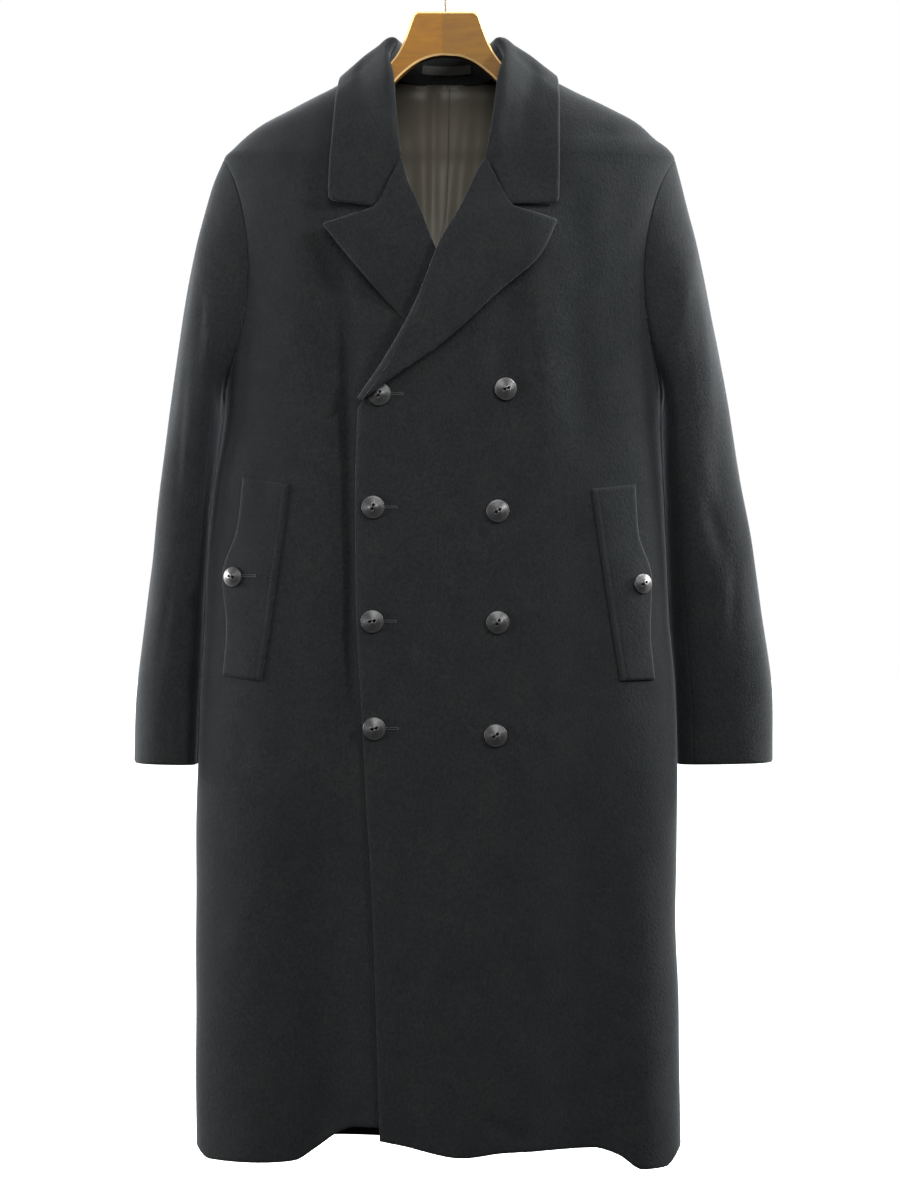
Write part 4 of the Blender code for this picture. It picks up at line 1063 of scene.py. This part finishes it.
def lapel(node, side, shape):
    """A wall that turns round the roll line and lies back on the front."""
    shares = np.concatenate((np.linspace(*LAPEL_COLUMNS), 1 - EDGE_SHARES[::-1] * LAPEL_COLUMN_EDGE))
    turn = np.radians(np.linspace(*ROLL_TURN, ROLL_STEPS))
    outer = []
    inner = []
    for share in lapel_rows():
        start, toward, radius = roll_start(shape, share)
        width = np.linalg.norm(lapel_row(shape, share, 1.0) - start)
        lying = follow(*shape["lying"].values(), share)
        centre = radius + CLOTH
        for points, bend, low in ((outer, radius + CLOTH, -CLOTH), (inner, radius, 0.0)):
            row = []
            for angle in turn:
                spot = start + toward * (centre + bend * np.cos(angle))
                row.append((*spot, low + bend + bend * np.sin(angle)))
            top = low + 2 * bend
            rest = lying - low
            for across in shares:
                spot = lapel_row(shape, share, across)
                if across * width <= centre + ROLL_REST:
                    spot = start + toward * (centre + ROLL_REST + across)
                row.append((*spot, rest + (top - rest) * (1 - across) ** LAPEL_FALL))
            points.append(row)
    grids = []
    for grid in (np.array(outer), np.array(inner)):
        grid = on_front(side, grid[..., 0], grid[..., 1], grid[..., 2])
        grids.append(round_corner(grid, False, True, LAPEL_CORNER))
    drop = edge_drop(grids[0], right=TURNED, top=TURNED)
    wool_piece(node, grids[0] - unit(grids[0] - grids[1]) * drop[..., None], grids[1])


# Collar
def collar_station(neck, stand, middle, edge):
    """Points of the collar's visible face at one station, from the neck seam to the edge."""
    up = unit(stand - neck)
    over = middle - stand
    over = unit(over - np.dot(over, up) * up)
    centre = stand + COLLAR_ROLL * over
    row = [neck, (neck + stand) / 2]
    for angle in np.radians(COLLAR_TURNS):
        row.append(centre + COLLAR_ROLL * (np.sin(angle) * up - np.cos(angle) * over))
    last = row[-1]
    return row + [(last + middle) / 2, middle, (middle + edge) / 2, edge]


def collar_half(side, front):
    """Stations of one half, from the centre back to the front end."""
    stations = []
    for spot in rows_of(COLLAR_BACK):
        neck = np.array((side * spot["neck_x"], spot["neck_y"], spot["neck_z"]))
        stand = np.array((side * spot["stand_x"], spot["stand_y"], spot["stand_z"]))
        q = back_q(side * spot["edge_x"], spot["edge_z"])
        edge = cloth(q, np.array(spot["edge_z"]), spot["edge_lift"])
        middle = (stand + edge) / 2 + COLLAR_MIDDLE_LIFT * outward(q, np.array(spot["edge_z"]))
        stations.append(collar_station(neck, stand, middle, edge))
    for spot in rows_of(front):
        neck_x = inner_edge(side, spot["neck_z"]) - side * (SEAM + COLLAR_CLOTH)
        neck = on_front(side, neck_x, spot["neck_z"] + SEAM, -CLOTH)
        stand = on_front(side, spot["stand_x"], spot["stand_z"], spot["stand_lift"])
        middle = on_front(side, spot["middle_x"], spot["middle_z"], COLLAR_MIDDLE_LIFT)
        edge = on_front(side, spot["edge_x"], spot["edge_z"], spot["edge_lift"])
        stations.append(collar_station(neck, stand, middle, edge))
    return np.array(stations)


def collar_grid():
    """The collar's visible face: rows run across the neck from one front end to the other."""
    right = collar_half(-1, COLLAR_RIGHT)
    left = collar_half(1, COLLAR_LEFT)
    stations = np.concatenate((right[::-1], left[1:]))
    length = lengths(stations[:, 2])
    middle = np.linspace(EDGE_STEPS[-1], length[-1] - EDGE_STEPS[-1], COLLAR_ROWS)[1:-1]
    at = np.concatenate((EDGE_STEPS, middle, length[-1] - EDGE_STEPS[::-1]))
    rows = np.empty((len(at),) + stations.shape[1:])
    for j in range(stations.shape[1]):
        for axis in range(3):
            rows[:, j, axis] = follow(length, stations[:, j, axis], at)
    last = 1 - EDGE_STEPS[-2::-1] * COLLAR_COLUMN_EDGE
    shares = np.concatenate((np.linspace(*COLLAR_COLUMNS), last))
    return np.array([at_shares(row, shares) for row in rows])


def grid_normals(grid):
    """Directions square to a grid of points."""
    return unit(np.cross(np.gradient(grid, axis=0), np.gradient(grid, axis=1)))


def collar(grid):
    """The collar's wall under its visible face, with rounded front corners."""
    for row_end in (False, True):
        grid = round_corner(grid, row_end, True, COLLAR_CORNER)
    normal = grid_normals(grid)
    drop = edge_drop(grid, right=TURNED, top=TURNED, low=TURNED)
    wool_piece("collar", grid - normal * drop[..., None], grid - COLLAR_CLOTH * normal)


def neck_label(grid):
    """A small bare label on the stand's inner face, across the centre back."""
    middle = len(grid) // 2
    away = lengths(grid[:, LABEL_COLUMN])
    away = away - away[middle]
    at = np.linspace(-LABEL_WIDTH / 2, LABEL_WIDTH / 2, LABEL_COLUMNS)
    top = np.argmax(grid[middle, :, 2])
    stand = lengths(grid[middle])[top]
    face = np.empty((LABEL_ROWS, LABEL_COLUMNS, 3))
    for i, share in enumerate(np.linspace(*LABEL_SHARE, LABEL_ROWS)):
        for axis in range(3):
            line = [np.interp(share * stand, lengths(row), row[:, axis]) for row in grid]
            face[i, :, axis] = np.interp(at, away, line)
    normal = grid_normals(grid)[middle, top // 2]
    outer = face + (LABEL_GAP + LABEL_CLOTH) * normal
    dress(shell("neck_label_tape", outer, face + LABEL_GAP * normal, TAPE), "neck_label")


# Sleeves
def sleeve_armhole(side, angle, gap):
    """Point of the armhole at an angle, 0 at the shoulder and 90 on the front, inside its edge."""
    sine = np.sin(angle)
    cut = np.where(sine > 0, ARMHOLE_FRONT, ARMHOLE_BACK) * np.abs(sine)
    cut = np.clip(cut - seam_share(2 * gap) * np.abs(sine), 0, 1) * np.sign(sine)
    q = np.mod(cut, 4) if side < 0 else 2 - cut
    return q, ARMHOLE_MIDDLE + (ARMHOLE_HALF - gap) * np.cos(angle)


def body_reach(side, y, z):
    """How far the bare form reaches sideways at a depth and height."""
    width = body_at("right" if side > 0 else "left", z)
    depth = np.where(y < 0, body_at("front", z), body_at("back", z))
    power = body_at("square", z)
    return width * (1 - np.clip(np.abs(y) / depth, 0, 1) ** power) ** (1 / power)


def oval(get, share, sine, reach):
    """Point on one ring of a sleeve, a share of the way from its outer to its inner line."""
    x = get["outer_x"] * (1 - share) + get["inner_x"] * share
    z = get["outer_z"] * (1 - share) + get["inner_z"] * share
    y = get["middle_y"] - get["half_depth"] * sine * reach
    return np.stack(np.broadcast_arrays(x, y, z), axis=-1)


def sleeve_point(side, sleeve, along, angle):
    """Point of a sleeve's outer face, and its place on the armhole."""
    get = {name: follow(sleeve["along"], sleeve[name], along) for name in sleeve}
    cosine = np.cos(angle)
    sine = np.sin(angle)
    reach = (np.abs(cosine) ** SLEEVE_SQUARE + np.abs(sine) ** SLEEVE_SQUARE) ** (-1 / SLEEVE_SQUARE)
    share = (1 - cosine * reach) / 2
    q, z = sleeve_armhole(side, angle, -TUCK)
    first = {name: column[0] for name, column in sleeve.items()}
    start = cloth(q, z, np.zeros_like(z))
    fade = 1 - ease(0, ARMHOLE_FADE, along)
    point = oval(get, share, sine, reach) + (start - oval(first, share, sine, reach)) * fade[..., None]
    clear = ease(0, SLEEVE_CLEAR_FROM, along)
    body = body_reach(side, point[..., 1], point[..., 2]) + SLEEVE_CLEAR * clear
    past = side * point[..., 0] - body
    pushed = (np.hypot(past, SLEEVE_GIVE) - past) / 2
    point[..., 0] += side * pushed * clear
    return point, q, z


def sleeve_fold(side, along, angle):
    """Height of a sleeve's folds at shares of its length and angles round it."""
    height = np.zeros(np.broadcast(along, angle).shape)
    for fold in rows_of(SLEEVE_FOLDS):
        if fold["side"] != side:
            continue
        from_middle = along - fold["along"]
        turned = (np.degrees(angle) - fold["angle"] - fold["slant"] * from_middle + 180) % 360 - 180
        away = (from_middle / fold["half_along"]) ** 2 + (turned / fold["half_angle"]) ** 2
        height = height + fold["height"] * np.exp(-away)
    return height


def sleeve_piece(node, side, sleeve, first, last):
    """One piece of a sleeve, from its first to its last seam in degrees."""
    gap = -math.degrees(TUCK / 2 / min(LEFT_SLEEVE["half_depth"]))
    inside = np.linspace(first + SLEEVE_STEP, last - SLEEVE_STEP, int((last - first) / SLEEVE_STEP))
    degrees = np.concatenate((first + gap + SLEEVE_EDGE, inside, last - gap - SLEEVE_EDGE[::-1]))
    cuff = 1 - EDGE_STEPS[::-1] * CUFF_STEP
    rows = 1 - (1 - np.linspace(0, 1, SLEEVE_ROWS)) ** SLEEVE_ROW_EASE
    rows = rows[(rows > SLEEVE_ROW_START) & (rows < cuff[0] - CUFF_GAP)]
    rows = np.concatenate((EDGE_SHARES[:-1], rows, cuff))
    along, angle = np.meshgrid(rows, np.radians(degrees), indexing="ij")
    point, q, z = sleeve_point(side, sleeve, along, angle)
    small = 0.004
    down = sleeve_point(side, sleeve, np.clip(along + small, 0, 1), angle)[0]
    down = down - sleeve_point(side, sleeve, np.clip(along - small, 0, 1), angle)[0]
    round_it = sleeve_point(side, sleeve, along, angle + small)[0]
    round_it = round_it - sleeve_point(side, sleeve, along, angle - small)[0]
    normal = unit(np.cross(down, round_it) * -side)
    sewn = (1 - ease(0, SLEEVE_SEWN, along)) * (1 + np.cos(angle)) / 2
    normal = unit(normal * (1 - sewn)[..., None] + outward(q, z) * sewn[..., None])
    fold = uneven(point[..., 1], point[..., 2]) * ease(0, UNEVEN_FROM, along)
    fold = fold + sleeve_fold(side, along, angle)
    drop = edge_drop(point, left=PRESSED, right=PRESSED, top=SEWN, low=TURNED)
    outer = point + normal * (fold - drop)[..., None]
    wool_piece(node, outer, point + normal * (fold - CLOTH)[..., None])


# Pockets
def welt_place(shape, share, across):
    """Place on the front at a share of a welt's length and width."""
    spot = {column: follow(shape["share"], shape[column], share) for column in shape}
    x = spot["inner_x"] * (1 - across) + spot["outer_x"] * across
    z = spot["inner_z"] * (1 - across) + spot["outer_z"] * across
    return x, z


def welt(node, side, shape):
    """A pocket's welt on its front, with the groove of its row of stitches."""
    across = close_at_ends(EDGE_SHARES * WELT_COLUMN_EDGE, *WELT_COLUMNS)[None, :]
    share = close_at_ends(EDGE_SHARES * WELT_ROW_EDGE, *WELT_ROWS)[:, None]
    x, z = welt_place(shape, share, across)
    outer = on_front(side, x, z, LYING + CLOTH)
    inner = on_front(side, x, z, LYING)
    groove = WELT_GROOVE * np.exp(-((lengths(outer, 1) - WELT_STITCH) / WELT_GROOVE_WIDTH) ** 2)
    drop = edge_drop(outer, left=SEWN, right=TURNED, top=TURNED, low=TURNED) + groove
    wool_piece(node, outer - unit(outer - inner) * drop[..., None], inner)


def stitch_line(points):
    """Stitches of thread along a line of points."""
    length = lengths(points)
    parts = []
    for start in np.arange(STITCH_START, length[-1] - STITCH, STITCH + STITCH_GAP):
        at = start + STITCH * np.linspace(0, 1, len(STITCH_SWELL))
        line = np.stack([np.interp(at, length, column) for column in points.T], axis=-1)
        parts.append(tube(line, THREAD * STITCH_SWELL, STITCH_SIDES))
    return parts


def welt_stitches(name, side, shape):
    """A row of stitches along a welt's inner edge, just above its groove."""
    share = np.linspace(*STITCH_POINTS)
    inner = np.array(welt_place(shape, share, 0.0))
    outer = np.array(welt_place(shape, share, 1.0))
    across = WELT_STITCH / np.hypot(*(outer - inner))
    x, z = welt_place(shape, share, across)
    points = on_front(side, x, z, LYING + CLOTH - STITCH_SINK)
    dress(joined(name, stitch_line(points), THREAD_LOOK))


# Buttons and buttonholes
def button_place(side, x, z, across, under):
    """The matrix that seats a button on the cloth and turns it square to it."""
    radius = across / 2
    turns = np.radians(np.arange(0, 360, 45))
    around = [on_front(side, x + radius * np.cos(a), z + radius * np.sin(a), under) for a in turns]
    normal = unit(np.cross(around[0] - around[4], around[2] - around[6]))
    centre = on_front(side, x, z, under)
    middle = max((point - centre) @ normal for point in around + [centre])
    place = Matrix.Translation(Vector((centre + normal * (middle + BUTTON_GAP)) * MM))
    return place @ Vector(normal).to_track_quat("Z", "Y").to_matrix().to_4x4()


def button_rings():
    """Radius and height of each ring, as shares of a button's radius, and its share of the tip's dip."""
    along = lengths(np.stack(list(BUTTON_PROFILE.values()), axis=-1))
    stops = (BUTTON_ENDS[0], *along[list(BUTTON_RIM)], along[-1] - BUTTON_ENDS[1])
    runs = [np.linspace(*ends) for ends in zip(stops[:-1], stops[1:], BUTTON_RINGS)]
    shares = np.concatenate((runs[0], runs[1][1:], runs[2][1:]))
    radius, height = (np.interp(shares, along, column) for column in BUTTON_PROFILE.values())
    return radius, height, np.clip(1 - shares / BUTTON_TIP, 0, 1)


def button(node, side, x, z, across, under, hole_turn):
    """A turned button with two holes in a carved eye."""
    radius, height, tip = button_rings()
    turn = np.linspace(0, 2 * math.pi, BUTTON_SIDES, endpoint=False)
    flat_x = across / 2 * radius[:, None] * np.cos(turn)
    flat_y = across / 2 * radius[:, None] * np.sin(turn)
    hole = np.radians(hole_turn)
    along_eye = flat_x * np.cos(hole) + flat_y * np.sin(hole)
    across_eye = flat_y * np.cos(hole) - flat_x * np.sin(hole)
    eye = np.exp(-(across_eye / EYE_WIDTH) ** 2) * (1 - ease(*EYE_END, np.abs(along_eye)))
    carved = EYE_DEPTH * eye
    for middle in (-HOLE_APART / 2, HOLE_APART / 2):
        away = np.hypot(along_eye - middle, across_eye)
        carved = carved + HOLE_DEPTH * (1 - ease(HOLE_FLOOR, HOLE_MOUTH, away))
    on_top = np.arange(len(radius)) < BUTTON_RINGS[0]
    height = (across / 2 * height - TIP_DIP * tip)[:, None] - carved * on_top[:, None]
    points = np.stack((flat_x, flat_y, height), axis=-1).reshape(-1, 3)
    at = np.arange(len(points)).reshape(flat_x.shape)
    ahead = np.roll(at, -1, axis=1)
    faces = np.stack((at[:-1], at[1:], ahead[1:], ahead[:-1]), -1).reshape(-1, 4).tolist()
    faces += [at[0].tolist(), at[-1, ::-1].tolist()]
    made = mesh_object("horn_" + node, points, faces, HORN)
    made.matrix_world = button_place(side, x, z, across, under)
    dress(made, node)


def buttonhole(name, side, x, z, across, under):
    """Two corded lips and a bar beside a button, on the side away from the edge."""
    end = x + across / 2 + BUTTONHOLE_REACH
    at = np.linspace(x + across * BUTTONHOLE_START, end, LIP_POINTS)
    purl = LIP * (1 + LIP_PURL * np.cos(at * 2 * math.pi / PURL_LENGTH))
    parts = []
    for sign in (-1, 1):
        line = on_front(side, at, np.full_like(at, z + sign * LIP_APART), under - LIP_SINK)
        parts.append(tube(line, purl, CORD_SIDES))
    bar = np.linspace(-BAR_HALF, BAR_HALF, BAR_POINTS)
    line = on_front(side, np.full_like(bar, end), z + bar, under)
    parts.append(tube(line, LIP, CORD_SIDES))
    dress(joined(name, parts, THREAD_LOOK))


# Lining
def lining_room(point):
    """How far the lining stands off its sewn place: its ease and folds, which start below its top."""
    fold = line_folds(LINING_FOLDS, point[..., 0], point[..., 2])
    return (LINING_EASE + fold) * ease(LINING_TOP, LINING_TOP - LINING_START, point[..., 2])


def lining_face(q, z):
    """Points of the lining's visible face, inside the coat's back."""
    point, normal = surface(q, z)
    return point - normal * (CLOTH + LYING + LINING_CLOTH + lining_room(point))[..., None]


def back_lining():
    """The lining of the back, as far as it shows in the neck opening."""
    q = 3 + np.linspace(-LINING_SHARE, LINING_SHARE, LINING_COLUMNS)[None, :]
    z = np.linspace(LINING_TOP, LINING_LOW, LINING_ROWS)[:, None]
    q, z = np.broadcast_arrays(q, z)
    outer = cloth(q, z, np.full(q.shape, -CLOTH - LYING))
    dress(shell("satin_back_lining", outer, lining_face(q, z), SATIN), "back_lining")


def lining_seam():
    """The centre seam of the lining, a fine dark line of thread in its groove."""
    z = np.linspace(LINING_SEAM["z"][0], LINING_SEAM["z"][-1], LINING_SEAM_POINTS)
    line = lining_face(back_q(follow(LINING_SEAM["z"], LINING_SEAM["x"], z), z), z)
    dress(joined("lining_seam", [tube(line, THREAD)], THREAD_LOOK))


# Hanger
def shoulder_line(side, x):
    """Height of the coat's shoulder line at a distance from the middle."""
    width = BODY["right"] if side > 0 else BODY["left"]
    above = BODY["z"] >= SHOULDER_TIP
    return follow(width[above], BODY["z"][above], x)


def hanger_outline(side):
    """One half in outline, from the joint along the top, round the end and back under the arch."""
    arm = np.linspace(ARM_START, ARM_END, ARM_STEPS)
    top = [(x, shoulder_line(side, x) - ARM_UNDER_CLOTH) for x in arm]
    neck = list(zip(*HANGER_NECK.values()))
    end = [(ARM_END + out, top[-1][1] - down) for out, down in zip(*ARM_TIP.values())]
    low = [(x - ARM_SLANT, z - ARM_HEIGHT) for x, z in reversed(top)]
    arch = list(zip(*HANGER_ARCH.values()))
    joint = side * HANGER_JOINT
    points = np.array(neck + top + end + low + arch + [(joint, ARCH_PEAK)])
    smooth = at_shares(points, np.linspace(0, 1, HANGER_POINTS))
    return np.concatenate((((joint, HANGER_TOP),), smooth))


def hanger_half(node, side, look):
    """A flat board in outline, with a narrow chamfer along both faces whose pale wood is a painted
    highlight.
    """
    outline = hanger_outline(side)
    along = unit(np.gradient(outline, axis=0))
    inside = np.stack((along[:, 1], -along[:, 0]), axis=-1)
    inside[[0, -1], 0] = 0
    inset = outline + inside * HANGER_CHAMFER
    half = HANGER_DEPTH / 2
    rim = half - HANGER_CHAMFER
    rings = ((inset, half), (outline, rim), (outline, -rim), (inset, -half))
    points = [np.stack((side * ring[:, 0], np.full(len(ring), y), ring[:, 1]), -1) for ring, y in rings]
    count = len(outline)
    at = np.arange(4 * count).reshape(4, count)
    ahead = np.roll(at, -1, axis=1)
    faces = [at[0, ::-1], at[3]]
    for i in range(3):
        faces += list(np.stack((at[i], ahead[i], ahead[i + 1], at[i + 1]), -1))
    # The first and last bands are the chamfers, apart from their faces at the joint, and their pale wood
    # is a painted highlight
    highlight_chamfers = list(range(2, 1 + count)) + list(range(2 + 2 * count, 1 + 3 * count))
    if side < 0:
        faces = [face[::-1] for face in faces]
    made = mesh_object("wood_" + node, np.concatenate(points), [face.tolist() for face in faces], look)
    made.data.materials.append(PAINTED_HIGHLIGHT_WOOD)
    for i in highlight_chamfers:
        made.data.polygons[i].material_index = 1
    made.data.set_sharp_from_angle(angle=math.radians(HANGER_SHARP))
    dress(made, node)


def hanger_hook():
    """A wire hook: an open round top that comes back over the wood's joint."""
    radius = HOOK_INSIDE + WIRE / 2
    points = []
    for angle in np.radians(np.linspace(*HOOK_ANGLES, HOOK_STEPS)):
        points.append((radius * math.cos(angle), radius * math.sin(angle) - HOOK_INSIDE))
    turn = np.array(points[-1])
    foot = np.array((0, HANGER_TOP + HOOK_FOOT))
    guides = (turn, turn + HOOK_PULL, foot + FOOT_PULL, foot)
    for t in HOOK_BENDS:
        weights = ((1 - t) ** 3, 3 * t * (1 - t) ** 2, 3 * t * t * (1 - t), t ** 3)
        points.append(tuple(sum(w * g for w, g in zip(weights, guides))))
    points += [tuple(foot), (0, HANGER_TOP + SEAM)]
    points = np.array(points)
    shares = np.linspace(0, 1, HOOK_POINTS)
    x, z = at_shares(points, shares).T
    from_tip = shares * lengths(points)[-1]
    radii = WIRE / 2 * np.sqrt(np.clip(from_tip / (WIRE / 2), WIRE_TIP, 1))
    wire = tube(np.stack((x, np.zeros_like(x), z), axis=-1), radii, WIRE_SIDES)
    dress(joined("wire_hanger_hook", [wire], WIRE_LOOK), "hanger_hook")


# The coat
front_panel("left_front", 1, HEM_LEFT)
front_panel("right_front", -1, HEM_RIGHT)
back_panel("left_back", 1)
back_panel("right_back", -1)
lapel("left_lapel", 1, LEFT_LAPEL)
lapel("right_lapel", -1, RIGHT_LAPEL)
collar_face = collar_grid()
collar(collar_face)
neck_label(collar_face)
for word, side, sleeve in (("left", 1, LEFT_SLEEVE), ("right", -1, RIGHT_SLEEVE)):
    sleeve_piece(f"{word}_sleeve_top", side, sleeve, *TOP_SLEEVE)
    sleeve_piece(f"{word}_sleeve_under", side, sleeve, *UNDER_SLEEVE)
for word, side, shape in (("left", 1, LEFT_WELT), ("right", -1, RIGHT_WELT)):
    welt(f"{word}_pocket_welt", side, shape)
    welt_stitches(f"stitches_{word}_welt", side, shape)
for node, x, z, hole_turn in BUTTONS:
    button(node, 1, x, z, FRONT_BUTTON, 0.0, hole_turn)
    if x < 0:
        buttonhole("buttonhole_" + node, 1, x, z, FRONT_BUTTON, 0.0)
for node, x, z, hole_turn in POCKET_BUTTONS:
    side = 1 if x > 0 else -1
    button(node, side, x, z, POCKET_BUTTON, LYING + CLOTH, hole_turn)
buttonhole("buttonhole_pocket_right", -1, *POCKET_BUTTONHOLE, POCKET_BUTTON, LYING + CLOTH)
back_lining()
lining_seam()
hanger_half("hanger_left", 1, DARK_WOOD)
hanger_half("hanger_right", -1, LIGHT_WOOD)
hanger_hook()


# Camera, light and floor
def camera():
    """A level camera that frames the coat as the photograph does."""
    data = bpy.data.cameras.new("camera")
    data.sensor_width = SENSOR
    data.lens = SENSOR * CAMERA_AWAY / (MM_PER_PIXEL * max(PHOTO))
    data.clip_end = CAMERA_END
    made = bpy.data.objects.new("camera", data)
    made.location = (CAMERA_X * MM, -CAMERA_AWAY * MM, CAMERA_Z * MM)
    made.rotation_euler = (math.pi / 2, 0, 0)
    bpy.context.scene.collection.objects.link(made)
    bpy.context.scene.camera = made


def area_light(name, place, target, size, power):
    """A round soft lamp that faces its target."""
    data = bpy.data.lights.new(name, "AREA")
    data.shape = "DISK"
    data.size = size
    data.spread = math.radians(LAMP_SPREAD)
    data.energy = power
    made = bpy.data.objects.new(name, data)
    made.location = place
    made.rotation_euler = (Vector(target) - Vector(place)).to_track_quat("-Z", "Y").to_euler()
    bpy.context.scene.collection.objects.link(made)


def stage():
    """A pale floor that throws no light back on the coat."""
    look, tree, main = shader("floor_paint", {"Roughness": 0.9, "Specular IOR Level": 0.1})
    wear(main, blend(tree, noise(tree, 0.6, 2), colour(0.98, 0.98, 0.98), colour(0.99, 0.99, 0.99)))
    turn = np.linspace(0, 2 * math.pi, FLOOR_SIDES, endpoint=False)
    height = np.full_like(turn, FLOOR)
    ring = np.stack((FLOOR_RADIUS * np.cos(turn), FLOOR_RADIUS * np.sin(turn), height), axis=-1)
    floor = mesh_object("floor", ring, [list(range(FLOOR_SIDES))], look)
    floor.visible_diffuse = False
    floor.visible_glossy = False


def scaled(tree, value, factor, more):
    """A value times a factor, plus more."""
    inputs = {0: value, 1: factor, 2: more}
    return add_node(tree, "ShaderNodeMath", inputs, operation="MULTIPLY_ADD").outputs[0]


def studio():
    """White walls behind and above the coat, dimmer ones in front, and soft lamps."""
    world = bpy.data.worlds.new("studio")
    world.use_nodes = True
    tree = world.node_tree
    seen = tree.nodes["Background"]
    seen.inputs["Color"].default_value = colour(1, 1, 1)
    place = add_node(tree, "ShaderNodeTexCoord").outputs["Generated"]
    way = add_node(tree, "ShaderNodeSeparateXYZ", {"Vector": place})
    walls = scaled(tree, steps(tree, way.outputs["Y"], *WALL_BEHIND), BEHIND_LIGHT, FRONT_LIGHT)
    both = scaled(tree, steps(tree, way.outputs["Z"], *WALL_ABOVE), ABOVE_LIGHT, walls)
    lit = add_node(tree, "ShaderNodeBackground", {"Color": colour(1, 1, 1), "Strength": both})
    direct = add_node(tree, "ShaderNodeLightPath").outputs["Is Camera Ray"]
    mixed = add_node(tree, "ShaderNodeMixShader", {0: direct, 1: lit.outputs[0], 2: seen.outputs[0]})
    tree.links.new(mixed.outputs[0], tree.nodes["World Output"].inputs["Surface"])
    bpy.context.scene.world = world
    bpy.context.scene.view_settings.view_transform = "Standard"
    for lamp in LAMPS:
        area_light(*lamp)


camera()
stage()
studio()
